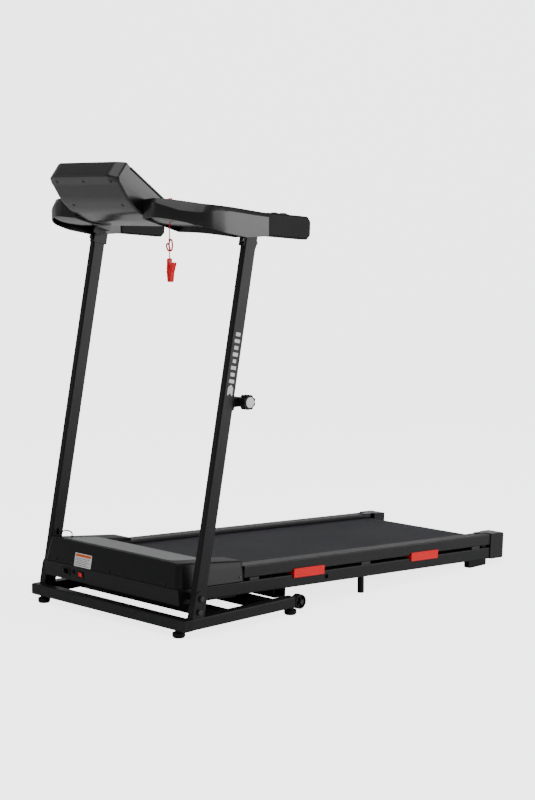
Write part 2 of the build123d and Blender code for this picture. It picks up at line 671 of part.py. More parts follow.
BOARD_X = (-225.0, -70.0)
with BuildPart() as control_board:
    add(block(deck, (BOARD_X[0], -15, -6), (BOARD_X[1], 45, -4.4)))
    for x in (BOARD_X[0] + 6, BOARD_X[1] - 6):
        for s in (-10.0, 40.0):
            add(rod(Plane(origin=on_deck(x, s, PLATE_TOP), z_dir=deck.z_dir), 3, 8))
    add(block(deck, (-215, 20, -4.4), (-150, 42, 28)))
    for x in (-135.0, -108.0):
        add(rod(Plane(origin=on_deck(x, 25, -4.4), z_dir=deck.z_dir), 11, 38, edge=1))
    add(block(deck, (-210, -12, -4.4), (-180, 6, 12)))
    add(block(deck, (-160, -12, -4.4), (-100, 2, 6)))
finish(control_board, "control_board")

# ---------------------------------------------------------------- hood and pan
HOOD_TOP_LIMIT = 95.0
HOOD_CORNER = 14.0


def hood_outline(h, inset):
    """The hood's plan at a height: a U that is open to the rear, drafted at front and sides."""
    rise = h - HOOD_SEAM
    half = HOOD_HALF - rise * HOOD_SIDE_DRAFT - inset
    front = HOOD_FRONT + rise * HOOD_FRONT_DRAFT + inset
    pod = HOOD_POD_INNER + inset
    right = [(half, HOOD_REAR - inset), (pod, HOOD_REAR - inset), (pod, HOOD_MIDDLE_REAR - inset)]
    left = [(-x, s) for x, s in reversed(right)]
    with BuildSketch(deck.offset(h)) as outline:
        with BuildLine():
            Polyline((half, front), *right, *left, (-half, front), close=True)
        make_face()
        corners = outline.vertices().filter_by(lambda v: abs(abs(v.X) - pod) > 1)
        fillet(corners, HOOD_CORNER - inset)
        fillet(outline.vertices().filter_by(lambda v: abs(abs(v.X) - pod) < 0.01), 4)
    return outline.sketch


def hood_form(bottom, inset):
    """The hood's outer or inner form, cut off along its sloping top."""
    with BuildPart() as form:
        loft([hood_outline(bottom, inset), hood_outline(HOOD_TOP_LIMIT, inset)])
        tilt = deck.rotated((-degrees(HOOD_TOP_SLOPE), 0, 0))
        start = on_deck(0, HOOD_FRONT, HOOD_TOP_FRONT - inset)
        top = Plane(origin=start, x_dir=(1, 0, 0), z_dir=tilt.z_dir)
        split(bisect_by=top, keep=Keep.BOTTOM)
    return form.part


CABLE = 1.8
CABLE_ENTRY = (-238.0, 16.0)


def hood_top(x, s):
    """A plane on the hood's sloping top."""
    rise = HOOD_TOP_FRONT - (s - HOOD_FRONT) * HOOD_TOP_SLOPE
    tilt = deck.rotated((-degrees(HOOD_TOP_SLOPE), 0, 0))
    return Plane(origin=on_deck(x, s, rise), x_dir=(1, 0, 0), z_dir=tilt.z_dir)


with BuildPart() as motor_hood:
    add(hood_form(HOOD_SEAM, 0))
    add(hood_form(HOOD_SEAM - 0.01, HOOD_WALL), mode=Mode.SUBTRACT)
    add(block(deck, (-265, 60, 0), (265, 300, 50)), mode=Mode.SUBTRACT)
    cable_entry = hood_top(*CABLE_ENTRY)
    add(rod(cable_entry.offset(-10), CABLE + 0.6, 20), mode=Mode.SUBTRACT)
finish(motor_hood, "motor_hood")

with BuildPart() as hood_insert:
    with BuildSketch(hood_top(0, 36).offset(0.1)):
        RectangleRounded(440, 112, 12)
    extrude(amount=1.2)
finish(hood_insert, "hood_insert")

PAN_LOW = (-39.0, PAN_BOTTOM)
PAN_HIGH = (HOOD_FRONT, HOOD_SEAM - 0.3)
with BuildPart() as motor_pan:
    outer = [PAN_HIGH, PAN_LOW, (PAN_REAR, PAN_BOTTOM)]
    inner = [
        (PAN_REAR, PAN_BOTTOM + HOOD_WALL),
        (PAN_LOW[0] + HOOD_WALL, PAN_BOTTOM + HOOD_WALL),
        (PAN_HIGH[0] + HOOD_WALL, PAN_HIGH[1]),
    ]
    add(profile(deck_across(-PAN_HALF), outer + inner, 2 * PAN_HALF))
    low = (-RAIL_INNER + 2, PAN_REAR - HOOD_WALL, PAN_BOTTOM)
    high = (RAIL_INNER - 2, PAN_REAR, -2)
    add(block(deck, low, high))
    nose = [PAN_HIGH, PAN_LOW, (-25, PAN_BOTTOM), (-25, PAN_HIGH[1])]
    hollow = [
        (PAN_HIGH[0] + HOOD_WALL, PAN_HIGH[1] + 1),
        (PAN_LOW[0] + HOOD_WALL, PAN_BOTTOM + HOOD_WALL),
        (-24, PAN_BOTTOM + HOOD_WALL),
        (-24, PAN_HIGH[1] + 1),
    ]
    add(profile(deck_across(-HOOD_HALF), nose, 2 * HOOD_HALF))
    half = HOOD_HALF - HOOD_WALL
    add(profile(deck_across(-half), hollow, 2 * half), mode=Mode.SUBTRACT)
    for x, rise, width, height in ((-121.0, 22.0, 21.6, 15.6), (-182.0, 24.0, 24.6, 18.6)):
        face = deck_face(x, PAN_LOW, PAN_HIGH, rise)
        add(block(face, (-width / 2, -height / 2, -6), (width / 2, height / 2, 4)), mode=Mode.SUBTRACT)
    add(rod(deck_face(-153, PAN_LOW, PAN_HIGH, 25).offset(-6), 5.2, 10), mode=Mode.SUBTRACT)
finish(motor_pan, "motor_pan")

rocker_face = deck_face(-121, PAN_LOW, PAN_HIGH, 22)
breaker_face = deck_face(-153, PAN_LOW, PAN_HIGH, 25)
rocker_normal = Axis(rocker_face.origin, rocker_face.z_dir)
with BuildPart() as switch_frames:
    add(block(rocker_face, (-13, -10, 0), (13, 10, 1.5), 2, rocker_normal))
    add(block(rocker_face, (-10.6, -7.6, -14), (10.6, 7.6, 0)))
    add(block(rocker_face, (-9.2, -6.2, -12), (9.2, 6.2, 2)), mode=Mode.SUBTRACT)
    add(rod(breaker_face.offset(-10), 5, 10, 3.45))
    add(rod(breaker_face, 6.5, 1.5, 3.45))
    add(rod(breaker_face.offset(-12), 5, 2))
finish(switch_frames, "switch_frames")

ROCKER_HALF = 8.2
with BuildPart() as power_rocker:
    rocker_side = Plane(
        origin=rocker_face.origin - rocker_face.y_dir * 5.7,
        x_dir=rocker_face.x_dir,
        z_dir=rocker_face.y_dir,
    )
    with BuildSketch(rocker_side):
        with BuildLine():
            Polyline((-ROCKER_HALF, -1.5), (0, -0.4), (ROCKER_HALF, -3.2), (4, 6), (-4, 6), close=True)
        make_face()
    extrude(amount=11.4)
finish(power_rocker, "power_rocker")

with BuildPart() as breaker_button:
    add(rod(breaker_face.offset(-7), 3.4, 11, edge=0.6))
finish(breaker_button, "breaker_button")

inlet_face = deck_face(-182, PAN_LOW, PAN_HIGH, 24)
inlet_normal = Axis(inlet_face.origin, inlet_face.z_dir)
with BuildPart() as inlet_socket:
    add(block(inlet_face, (-15, -11.5, 0), (15, 11.5, 1.5), 3, inlet_normal))
    add(block(inlet_face, (-12.1, -9.1, -14), (12.1, 9.1, 0)))
    add(block(inlet_face, (-9.8, -6.8, -11), (9.8, 6.8, 2)), mode=Mode.SUBTRACT)
    for x, y in ((-5, -2), (0, 2), (5, -2)):
        add(block(inlet_face, (x - 1, y - 1.8, -11), (x + 1, y + 1.8, -2)))
finish(inlet_socket, "inlet_socket")

hood_low = (HOOD_FRONT, HOOD_SEAM)
hood_high = (HOOD_FRONT + 60 * HOOD_FRONT_DRAFT, HOOD_SEAM + 60)
with BuildPart() as deck_screws:
    for x in (-228.0, 0.0, 225.0):
        face = deck_face(x, hood_low, hood_high, 9).offset(0.05)
        add(rod(face, 4, 1.6, edge=0.5))
    for _, side in SIDES:
        rise = 12
        spot = on_deck(side * (HOOD_HALF - rise * HOOD_SIDE_DRAFT + 0.1), 178, HOOD_SEAM + rise)
        add(rod(Plane(origin=spot, z_dir=(side, 0, HOOD_SIDE_DRAFT)), 4, 1.6, edge=0.5))
        adjuster = on_deck(side * 255, CAP_END + FIT, 12)
        start = Plane(origin=adjuster, x_dir=(1, 0, 0), z_dir=deck.y_dir)
        add(hexagon(start, 6, 4))
finish(deck_screws, "deck_screws")

# ---------------------------------------------------------------- rear caps
with BuildPart() as rear_caps:
    for _, side in SIDES:
        low = (side * 231, RAIL_END + 0.5, CAP_LOW)
        add(block(deck, low, (side * CAP_OUTER, CAP_END, CAP_TOP), CAP_EDGE))
        low = (side * CAP_INNER, 1270, CAP_LOW)
        add(block(deck, low, (side * 235, CAP_END, CAP_TOP), CAP_EDGE))
        add(block(deck, (side * 226, 1230, STEP_TOP + 0.1), (side * 250, 1262, CAP_TOP)))
        low = (side * 236, RAIL_END, CAP_LOW + 6)
        high = (side * (CAP_OUTER - 5), 1300, CAP_TOP - 7)
        add(block(deck, low, high), mode=Mode.SUBTRACT)
finish(rear_caps, "rear_caps")

# ---------------------------------------------------------------- console
# The housing's side view: back panel, curved belly, short edge towards the walker, display face.
display_top = (-12.0, 1203.0)
display_low = (150.0, 1088.0)
console_back = [(-30.0, 1214.0), (-42.0, 1216.0), (-70.0, 1180.0), (-49.0, 1158.0)]
console_belly = [(-23.0, 1119.0), (12.0, 1087.0), (70.0, 1062.0)]
console_rear = [(137.0, 1050.0), (150.0, 1056.0)]
BELLY_RADIUS = 110.0
display_angle = atan2(display_top[1] - display_low[1], display_low[0] - display_top[0])
display = Plane(
    origin=(0, at(display_top[0]), display_top[1]),
    x_dir=(1, 0, 0),
    z_dir=(0, sin(display_angle), cos(display_angle)),
)


def console_form(half, inset):
    """The housing's solid form, drawn in from its outer skin by the wall if asked."""
    outline = [display_low, display_top, *console_back, *console_belly, *console_rear]
    with BuildPart() as form:
        with BuildSketch(Plane.YZ.offset(-half)) as side_view:
            with BuildLine():
                Polyline(*[(at(d), z) for d, z in outline], close=True)
            make_face()
            if inset:
                offset(amount=-inset, kind=Kind.INTERSECTION, mode=Mode.REPLACE)
            bends = side_view.vertices().filter_by(lambda v: at(-40) < v.X < at(100) and v.Y < 1150)
            fillet(bends, BELLY_RADIUS)
            fillet(side_view.vertices().filter_by(lambda v: v.X < at(-36) and v.Y > 1150), 4)
        extrude(amount=2 * half)
    return form.part


SCREW = 3.5
SCREW_DEPTH = 1.5
SCREW_SPOTS = ((-118, 1172), (0, 1172), (118, 1172), (-100, 1105), (100, 1105))
WIRE_SPOT = (105.0, 1078.0)   # the cable's way from the housing into the arm
WIRE_HOLE = 6.0


def screw_posts(radius, inset):
    """Short plugs that fill the housing's skin at each screw, down to a depth under it."""
    with BuildPart() as posts:
        for x, z in SCREW_SPOTS:
            add(rod(Plane(origin=(x, at(-120), z), z_dir=(0, 1, 0)), radius, 240))
        add(console_form(CONSOLE_HALF, 0), mode=Mode.INTERSECT)
        add(console_form(CONSOLE_HALF - inset, inset), mode=Mode.SUBTRACT)
        add(block(Plane.XY, (-200, at(60), 1000), (200, at(250), 1300)), mode=Mode.SUBTRACT)
        add(block(Plane.XY, (-200, at(0), 1120), (200, at(60), 1300)), mode=Mode.SUBTRACT)
    return posts.part


with BuildPart() as console_back_shell:
    add(console_form(CONSOLE_HALF, 0))
    add(console_form(CONSOLE_HALF - CONSOLE_WALL, CONSOLE_WALL), mode=Mode.SUBTRACT)
    low = (-CONSOLE_HALF + CONSOLE_WALL, 3, -12)
    high = (CONSOLE_HALF - CONSOLE_WALL, 190, 1)
    add(block(display, low, high), mode=Mode.SUBTRACT)
    split(bisect_by=display.offset(-BEZEL_THICK), keep=Keep.BOTTOM)
    cable_hole = across(-CONSOLE_HALF - 1, *WIRE_SPOT)
    add(rod(cable_hole, WIRE_HOLE, 6), mode=Mode.SUBTRACT)
    add(screw_posts(SCREW + FIT, SCREW_DEPTH + FIT), mode=Mode.SUBTRACT)
finish(console_back_shell, "console_back_shell")

WINDOW = ((-92.0, 22.0), (92.0, 96.0))
KEY_SPOT = (100.0, 172.0)     # safety key, in the display face's own coordinates
display_normal = Axis(display.origin, display.z_dir)
with BuildPart() as console_bezel:
    low = (-CONSOLE_HALF, 1, -BEZEL_THICK + 0.1)
    high = (CONSOLE_HALF, 196, 0)
    add(block(display, low, high, 3, display_normal))
    low = (*WINDOW[0], -4)
    high = (*WINDOW[1], 1)
    add(block(display, low, high, 6, display_normal), mode=Mode.SUBTRACT)
    low = (-112, 104, -0.8)
    high = (112, 152, 1)
    add(block(display, low, high, 5, display_normal), mode=Mode.SUBTRACT)
    key_seat = Plane(origin=display.from_local_coords(Vector(*KEY_SPOT, -1.5)), z_dir=display.z_dir)
    add(rod(key_seat, 13.3, 3), mode=Mode.SUBTRACT)
finish(console_bezel, "console_bezel")

with BuildPart() as display_window:
    low = (WINDOW[0][0] + FIT, WINDOW[0][1] + FIT, -2.6)
    high = (WINDOW[1][0] - FIT, WINDOW[1][1] - FIT, -0.6)
    add(block(display, low, high, 5.8, display_normal))
finish(display_window, "display_window")

with BuildPart() as keypad_panel:
    add(block(display, (-111.8, 104.2, -0.7), (111.8, 151.8, 0.3), 4.8, display_normal))
finish(keypad_panel, "keypad_panel")

with BuildPart() as console_board:
    add(block(display, (-120, 18, -14), (120, 120, -12.4)))
    add(block(display, (-88, 26, -12.4), (88, 92, -3.4)))
    for x in (-110.0, 110.0):
        for v in (24.0, 114.0):
            spot = Plane(origin=display.from_local_coords(Vector(x, v, -12.4)), z_dir=display.z_dir)
            add(rod(spot, 3, 9.2))
finish(console_board, "console_board")

with BuildPart() as console_screws:
    add(screw_posts(SCREW, SCREW_DEPTH))
finish(console_screws, "console_screws")

# ---------------------------------------------------------------- arms, grips and their brackets
ARM_GAP = CONSOLE_HALF + FIT
arm_outer_line = [
    (197.0, 14.0),
    (227.0, 23.0),
    (255.0, 38.0),
    (279.0, 58.0),
    (298.0, 80.0),
    (309.0, 100.0),
    (315.0, 122.0),
    (ARM_OUTER, 165.0),
]
arm_inner_line = [
    (ARM_INNER, 260.0),
    (276.0, 236.0),
    (268.0, 215.0),
    (253.0, 192.0),
    (235.0, 172.0),
    (190.0, 154.0),
]
arm_top_line = [(10.0, 1125.0), (50.0, 1116.0), (81.0, 1110.0), (160.0, 1102.0), (ARM_END + 5, 1085.0)]
arm_low_line = [(ARM_END + 5, 1025.0), (225.0, 1022.0), (150.0, 1035.0), (81.0, 1053.0), (10.0, 1076.0)]


def arm_form(side, wall):
    """An arm's form: its plan outline, cut by its side view; a wall makes the hollow inside."""
    inner_end = [(ARM_INNER, ARM_END), *arm_inner_line, (ARM_GAP, 150.0), (ARM_GAP, 26.0)]
    plan_line = [*arm_outer_line, (ARM_OUTER, ARM_END), *inner_end]
    top = [(at(d), z - wall) for d, z in arm_top_line]
    low = [(at(d), z - 8 * wall) for d, z in arm_low_line]
    with BuildPart() as form:
        with BuildSketch(Plane.XY.offset(1000)):
            with BuildLine():
                Polyline(*[(side * x, at(d)) for x, d in plan_line], close=True)
            make_face()
            if wall:
                offset(amount=-wall, kind=Kind.INTERSECTION, mode=Mode.REPLACE)
        extrude(amount=200)
        add(profile(Plane.YZ.offset(-FLOOR_CUT), top + low, 2 * FLOOR_CUT), mode=Mode.INTERSECT)
    return form.part


CORD_HOLE = (180.0, 81.0)
ARM_WALL = 2.5
ARM_TUBE = (16.0, 36.0)       # width and height of the tube inside each arm
FLOOR_LINE = [(44.0, 1074.0), (70.0, 1062.0), (137.0, 1050.0)]
FLOOR_THICK = 2.5
FLOOR_OUTER = 258.0
grip_x = (GRIP_INNER + GRIP_OUTER) / 2
GRIP_TILT = 0.05
GRIP_SEAT = (300.0, 1056.0)   # where the grips start, behind and above


def grip_seat(side):
    """The frame of a grip: own y axis rearwards along the arm's tube, own z axis up."""
    behind, z = GRIP_SEAT
    return Plane(origin=(side * grip_x, at(behind), z), x_dir=(1, 0, 0), z_dir=(0, GRIP_TILT, 1))


def arm_shell(side, wire_hole):
    """One arm: a hollow shell open below, with a sloping floor beside the housing."""
    under = [(at(d), z) for d, z in FLOOR_LINE]
    over = [(at(d), z + FLOOR_THICK) for d, z in reversed(FLOOR_LINE)]
    start = ARM_GAP if side > 0 else -FLOOR_OUTER
    with BuildPart() as shell:
        add(arm_form(side, 0))
        add(arm_form(side, ARM_WALL), mode=Mode.SUBTRACT)
        add(profile(Plane.YZ.offset(start), under + over, FLOOR_OUTER - ARM_GAP))
        low = (-ARM_TUBE[0] / 2 - 0.4, -20, -ARM_TUBE[1] / 2 - 0.4)
        high = (ARM_TUBE[0] / 2 + 0.4, 40, ARM_TUBE[1] / 2 + 0.4)
        add(block(grip_seat(side), low, high), mode=Mode.SUBTRACT)
        if wire_hole:
            add(rod(across(-ARM_GAP - 6, *WIRE_SPOT), WIRE_HOLE, 10), mode=Mode.SUBTRACT)
        else:
            with BuildSketch(Plane(origin=(CORD_HOLE[0], at(CORD_HOLE[1]), 1030))):
                SlotOverall(30, 18, rotation=90)
            extrude(amount=FLOOR_CUT, mode=Mode.SUBTRACT)
    return shell.part


with BuildPart() as console_arms:
    for _, side in SIDES:
        add(arm_shell(side, side < 0))
finish(console_arms, "console_arms")

# A tube runs through each arm into its grip; a bracket under it clasps the upright's top.
with BuildPart() as console_frame:
    for _, side in SIDES:
        seat = grip_seat(side)
        spot = upright_plane(side * upright_mid, TOP_BOLT_Z)
        reach = UPRIGHT_WIDTH / 2 + FIT
        deep = UPRIGHT_DEPTH / 2 + FIT
        low = (-side * (reach + BRACKET_THICK), -deep - BRACKET_THICK, -14)
        high = (-side * reach, deep + BRACKET_THICK, 40)
        add(block(spot, low, high))
        for end in (1, -1):
            low = (-side * reach, end * deep, -14)
            high = (side * 7, end * (deep + BRACKET_THICK), 22)
            add(block(spot, low, high))
        wide, tall = ARM_TUBE[0] / 2, ARM_TUBE[1] / 2
        tube_low = (-wide, -85, -tall)
        tube_high = (wide, 150, tall)
        add(block(seat, tube_low, tube_high, 3, Axis((0, 0, 0), seat.y_dir)))
        hollow_low = (-wide + TUBE_WALL, -86, -tall + TUBE_WALL)
        hollow_high = (wide - TUBE_WALL, 151, tall - TUBE_WALL)
        add(block(seat, hollow_low, hollow_high), mode=Mode.SUBTRACT)
        bore = Plane(origin=spot.origin - spot.y_dir * UPRIGHT_DEPTH, z_dir=spot.y_dir)
        add(rod(bore, TOP_BOLT + FIT, 2 * UPRIGHT_DEPTH), mode=Mode.SUBTRACT)
finish(console_frame, "console_frame")

GRIP_SIDE = [(5.2, -31), (160, -35), (172, -24), (172, 14), (160, 27), (5.2, 31)]
KEY_SLOT = (29.0, 96.0)
KEY_FLOOR = 20.0
grip_half = (GRIP_OUTER - GRIP_INNER) / 2
with BuildPart() as grips:
    for _, side in SIDES:
        seat = grip_seat(side)
        start = seat.origin - Vector(grip_half, 0, 0)
        with BuildPart() as grip:
            with BuildSketch(Plane(origin=start, x_dir=seat.y_dir, z_dir=(1, 0, 0))) as outline:
                with BuildLine():
                    Polyline(*GRIP_SIDE, close=True)
                make_face()
                fillet(outline.vertices().sort_by(Axis.Y)[2:], 9)
            extrude(amount=2 * grip_half)
            fillet(grip.edges().group_by(Axis.X)[-1] + grip.edges().group_by(Axis.X)[0], 6)
        low = (-9.2, KEY_SLOT[0], KEY_FLOOR)
        add(block(seat, low, (9.2, KEY_SLOT[1], 40)), mode=Mode.SUBTRACT)
        low = (-ARM_TUBE[0] / 2 - FIT, 0, -ARM_TUBE[1] / 2 - FIT)
        high = (ARM_TUBE[0] / 2 + FIT, 151, ARM_TUBE[1] / 2 + FIT)
        add(block(seat, low, high), mode=Mode.SUBTRACT)
finish(grips, "grips")

# Each grip's two buttons are the two ends of one rocking key.
for side_name, side in SIDES:
    with BuildPart() as grip_key:
        low = (-9, KEY_SLOT[0] + 1, KEY_FLOOR + 3)
        add(block(grip_seat(side), low, (9, KEY_SLOT[1] - 1, KEY_FLOOR + 11.5), 2.5, Axis.X))
    finish(grip_key, f"grip_key_{side_name}")

# ---------------------------------------------------------------- safety key and lanyard
key_plane = Plane(origin=display.from_local_coords(Vector(*KEY_SPOT, -1.4)), z_dir=display.z_dir)
with BuildPart() as safety_key:
    add(rod(key_plane, 13, 7, edge=1.2))
    add(rod(key_plane.offset(7), 6, 5, edge=1))
finish(safety_key, "safety_key")

CORD = 1.4
KNOT_Z = 1020.0
key_top = key_plane.offset(12).origin
cord_points = [
    tuple(key_top),
    tuple(key_top + display.z_dir * 7.5),
    (104.0, at(144.0), 1122.0),
    (112.5, at(146.5), 1123.0),
    (126.5, at(139.0), 1122.0),
    (141.0, at(124.0), 1120.5),
    (157.0, at(105.0), 1120.5),
    (172.0, at(90.0), 1117.0),
    (179.0, at(83.0), 1103.0),
    (CORD_HOLE[0], at(CORD_HOLE[1]), 1080.0),
    (CORD_HOLE[0] + 1, at(CORD_HOLE[1]) + 0.5, 1060.0),
    (CORD_HOLE[0], at(CORD_HOLE[1]), 1040.0),
    (CORD_HOLE[0] + 0.4, at(CORD_HOLE[1]), KNOT_Z),
]
with BuildPart() as lanyard_cord:
    add(round_cord(cord_points, CORD, "lanyard_cord"))
finish(lanyard_cord, "lanyard_cord")

BOW_HALF = 17.0
with BuildPart() as lanyard_bow:
    bow = Plane(
        origin=(CORD_HOLE[0], at(CORD_HOLE[1]), KNOT_Z - BOW_HALF - FIT),
        x_dir=(0.7, 0.7, 0),
        z_dir=(0.7, -0.7, 0),
    )
    with BuildSketch(bow.offset(-3)):
        Ellipse(9, BOW_HALF)
    extrude(amount=6)
finish(lanyard_bow, "lanyard_bow")

CLIP_TOP = 970.0
tail_top = KNOT_Z - 2 * (BOW_HALF + FIT)
tail_points = [
    (CORD_HOLE[0], at(CORD_HOLE[1]), tail_top),
    (CORD_HOLE[0] + 0.3, at(CORD_HOLE[1]) - 0.3, (tail_top + CLIP_TOP) / 2),
    (CORD_HOLE[0], at(CORD_HOLE[1]), CLIP_TOP + FIT),
]
with BuildPart() as lanyard_tail:
    add(round_cord(tail_points, CORD, "lanyard_tail"))
finish(lanyard_tail, "lanyard_tail")

# The clothes clip hangs by its fixed jaw. Its side view is drawn with y as the drop from its top.
CLIP_WIDTH = 14.0
CLIP_FIXED = [(3.0, 30.0), (3.0, 62.0), (-2.0, 62.0), (-5.5, 36.0), (-3.5, 2.0), (0.0, 0.0), (3.0, 3.0)]
CLIP_MOVING = [(3.6, 30.0), (3.6, 62.0), (8.5, 62.0), (12.0, 38.0), (21.0, 13.0), (17.0, 10.0)]
for name, outline in (("clip_jaw_fixed", CLIP_FIXED), ("clip_jaw_moving", CLIP_MOVING)):
    with BuildPart() as clip_jaw:
        clip_face = at(CORD_HOLE[1]) - CLIP_WIDTH / 2
        side_view = Plane(
            origin=(CORD_HOLE[0], clip_face, CLIP_TOP), x_dir=(1, 0, 0), z_dir=(0, 1, 0)
        )
        add(profile(side_view, outline, CLIP_WIDTH))
    finish(clip_jaw, name)

# ---------------------------------------------------------------- console cable
cable_x = -upright_mid - 6.25       # beside the bolt at the upright's top
cable_top = 1040.0
WIRE_END_Z = 232.0
upper_points = [
    (-CONSOLE_HALF + 20, at(WIRE_SPOT[0]), WIRE_SPOT[1]),
    (-165.0, at(WIRE_SPOT[0]), WIRE_SPOT[1]),
    (-215.0, at(125), 1076.0),
    (-262.0, at(165), 1074.0),
    (-303.0, at(198), 1072.0),
    (cable_x, at(axis_behind(cable_top) - 16), 1066.0),
    (cable_x, at(axis_behind(cable_top)), cable_top),
]
with BuildPart() as console_cable:
    add(round_cord(upper_points, CABLE, "console_cable"))
    start = Vector(*upper_points[-1])
    shaft_end = Vector(cable_x, at(axis_behind(WIRE_END_Z)), WIRE_END_Z)
    add(rod(Plane(origin=start, z_dir=shaft_end - start), CABLE, (shaft_end - start).length))
finish(console_cable, "console_cable")

hood_entry = hood_top(*CABLE_ENTRY)
bridge_points = [
    (cable_x, at(axis_behind(WIRE_END_Z)), WIRE_END_Z - FIT),
    (cable_x, at(axis_behind(208.0)), 208.0),
    (-306.0, at(axis_behind(192.0)), 192.0),
    (-285.0, at(77.5), 191.0),
    (-262.0, at(78.5), 198.0),
    tuple(hood_entry.origin + hood_entry.z_dir * 12),
    tuple(hood_entry.origin - hood_entry.z_dir * 9),
]
with BuildPart() as cable_bridge:
    add(round_cord(bridge_points, CABLE, "cable_bridge"))
finish(cable_bridge, "cable_bridge")
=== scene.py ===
import json
import math

import bmesh
import bpy
import numpy as np
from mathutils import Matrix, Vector
from mathutils.bvhtree import BVHTree


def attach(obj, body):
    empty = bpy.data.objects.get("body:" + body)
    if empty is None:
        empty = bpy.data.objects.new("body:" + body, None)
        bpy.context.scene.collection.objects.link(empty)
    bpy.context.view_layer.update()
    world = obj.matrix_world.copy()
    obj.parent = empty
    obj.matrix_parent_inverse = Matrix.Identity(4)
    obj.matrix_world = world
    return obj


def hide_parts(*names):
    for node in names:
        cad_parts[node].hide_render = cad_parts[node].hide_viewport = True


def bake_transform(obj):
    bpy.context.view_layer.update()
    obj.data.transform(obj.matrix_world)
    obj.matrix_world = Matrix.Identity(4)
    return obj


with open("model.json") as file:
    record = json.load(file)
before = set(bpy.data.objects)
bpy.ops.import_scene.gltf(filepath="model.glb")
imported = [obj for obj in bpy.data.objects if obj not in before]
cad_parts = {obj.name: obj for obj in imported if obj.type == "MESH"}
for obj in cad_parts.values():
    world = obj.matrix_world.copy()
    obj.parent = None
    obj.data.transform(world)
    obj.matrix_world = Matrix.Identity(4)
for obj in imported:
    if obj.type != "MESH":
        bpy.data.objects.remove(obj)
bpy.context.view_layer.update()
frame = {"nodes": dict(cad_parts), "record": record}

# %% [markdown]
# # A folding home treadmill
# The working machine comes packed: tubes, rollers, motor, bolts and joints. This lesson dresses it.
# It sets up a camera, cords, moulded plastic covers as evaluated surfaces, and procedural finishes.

nodes = frame["nodes"]
record = frame["record"]

# %% [markdown]
# Every length below is in metres. "Behind" runs rearwards from the base's front face, and the
# deck has a frame of its own: x across, s along it to the rear, h up from its pivot axis.

# %% Driving dimensions
FRONT = -0.656
LEAN = math.radians(11.4)
SLOPE = math.radians(3.0)
MM = 0.001
UPRIGHT_FOOT_BEHIND = 38.4
PIVOT_Z = 0.1
PIVOT_Y = FRONT + UPRIGHT_FOOT_BEHIND * MM + PIVOT_Z * math.tan(LEAN)


def at(behind):
    """The y of a point so many millimetres behind the base's front face."""
    return FRONT + behind * MM


def on_deck(points):
    """Points (x, s, h) in millimetres on the deck, as row-frame metres."""
    p = np.asarray(points, float) * MM
    y = PIVOT_Y + p[..., 1] * math.cos(SLOPE) + p[..., 2] * math.sin(SLOPE)
    z = PIVOT_Z - p[..., 1] * math.sin(SLOPE) + p[..., 2] * math.cos(SLOPE)
    return np.stack([p[..., 0], y, z], -1)


def on_floor(points):
    """Points (x, behind, z) in millimetres, as row-frame metres."""
    p = np.asarray(points, float) * MM
    return np.stack([p[..., 0], FRONT + p[..., 1], p[..., 2]], -1)


# %% [markdown]
# ## Camera
# A long lens stands in front of the machine on the walker's left, a little over console height.

# %% Camera
LENS, SENSOR = 78.75, 36.0
CAMERA_PLACE = (3.573, FRONT - 2.9271, 1.1109)
CAMERA_PITCH, CAMERA_TURN = 83.578, 45.2476
camera_data = bpy.data.cameras.new("camera")
camera_data.lens = LENS
camera_data.sensor_width = SENSOR
camera = bpy.data.objects.new("camera", camera_data)
camera.location = CAMERA_PLACE
camera.rotation_euler = (math.radians(CAMERA_PITCH), 0.0, math.radians(CAMERA_TURN))
bpy.context.scene.collection.objects.link(camera)
bpy.context.scene.camera = camera
print("camera at", tuple(round(v, 3) for v in camera.location))

# %% [markdown]
# ## Shader groups
# Each group is one effect that several finishes share. It puts out colours, masks, roughness
# and normals only; the shader itself stays in the material.


# %% Node helpers
def new_group(name, inputs, outputs):
    """An empty shader group with named sockets; inputs are (name, type, default)."""
    tree = bpy.data.node_groups.new(name, "ShaderNodeTree")
    for label, kind, value in inputs:
        socket = tree.interface.new_socket(label, in_out="INPUT", socket_type=kind)
        if value is not None:
            socket.default_value = value
    for label, kind in outputs:
        tree.interface.new_socket(label, in_out="OUTPUT", socket_type=kind)
    return tree, tree.nodes.new("NodeGroupInput"), tree.nodes.new("NodeGroupOutput")


def math_node(tree, operation, a, b=None):
    """A math node whose inputs are sockets or numbers."""
    node = tree.nodes.new("ShaderNodeMath")
    node.operation = operation
    for socket, value in zip(node.inputs, (a, b)):
        if value is None:
            continue
        if hasattr(value, "links"):
            tree.links.new(value, socket)
        else:
            socket.default_value = value
    return node.outputs[0]


def mixed_colour(tree, factor, a, b):
    """A colour mix whose inputs are sockets or colours."""
    node = tree.nodes.new("ShaderNodeMix")
    node.data_type = "RGBA"
    for socket, value in ((node.inputs[0], factor), (node.inputs[6], a), (node.inputs[7], b)):
        if hasattr(value, "links"):
            tree.links.new(value, socket)
        else:
            socket.default_value = value
    return node.outputs[2]


def noise(tree, vector, scale, detail=2.0, rough=0.5):
    """Noise in the object's own coordinates."""
    node = tree.nodes.new("ShaderNodeTexNoise")
    node.inputs["Detail"].default_value = detail
    node.inputs["Roughness"].default_value = rough
    tree.links.new(vector, node.inputs["Vector"])
    if hasattr(scale, "links"):
        tree.links.new(scale, node.inputs["Scale"])
    else:
        node.inputs["Scale"].default_value = scale
    return node.outputs["Fac"]


FULL_TURN = 6.2832
FLOAT, COLOUR, VECTOR = "NodeSocketFloat", "NodeSocketColor", "NodeSocketVector"

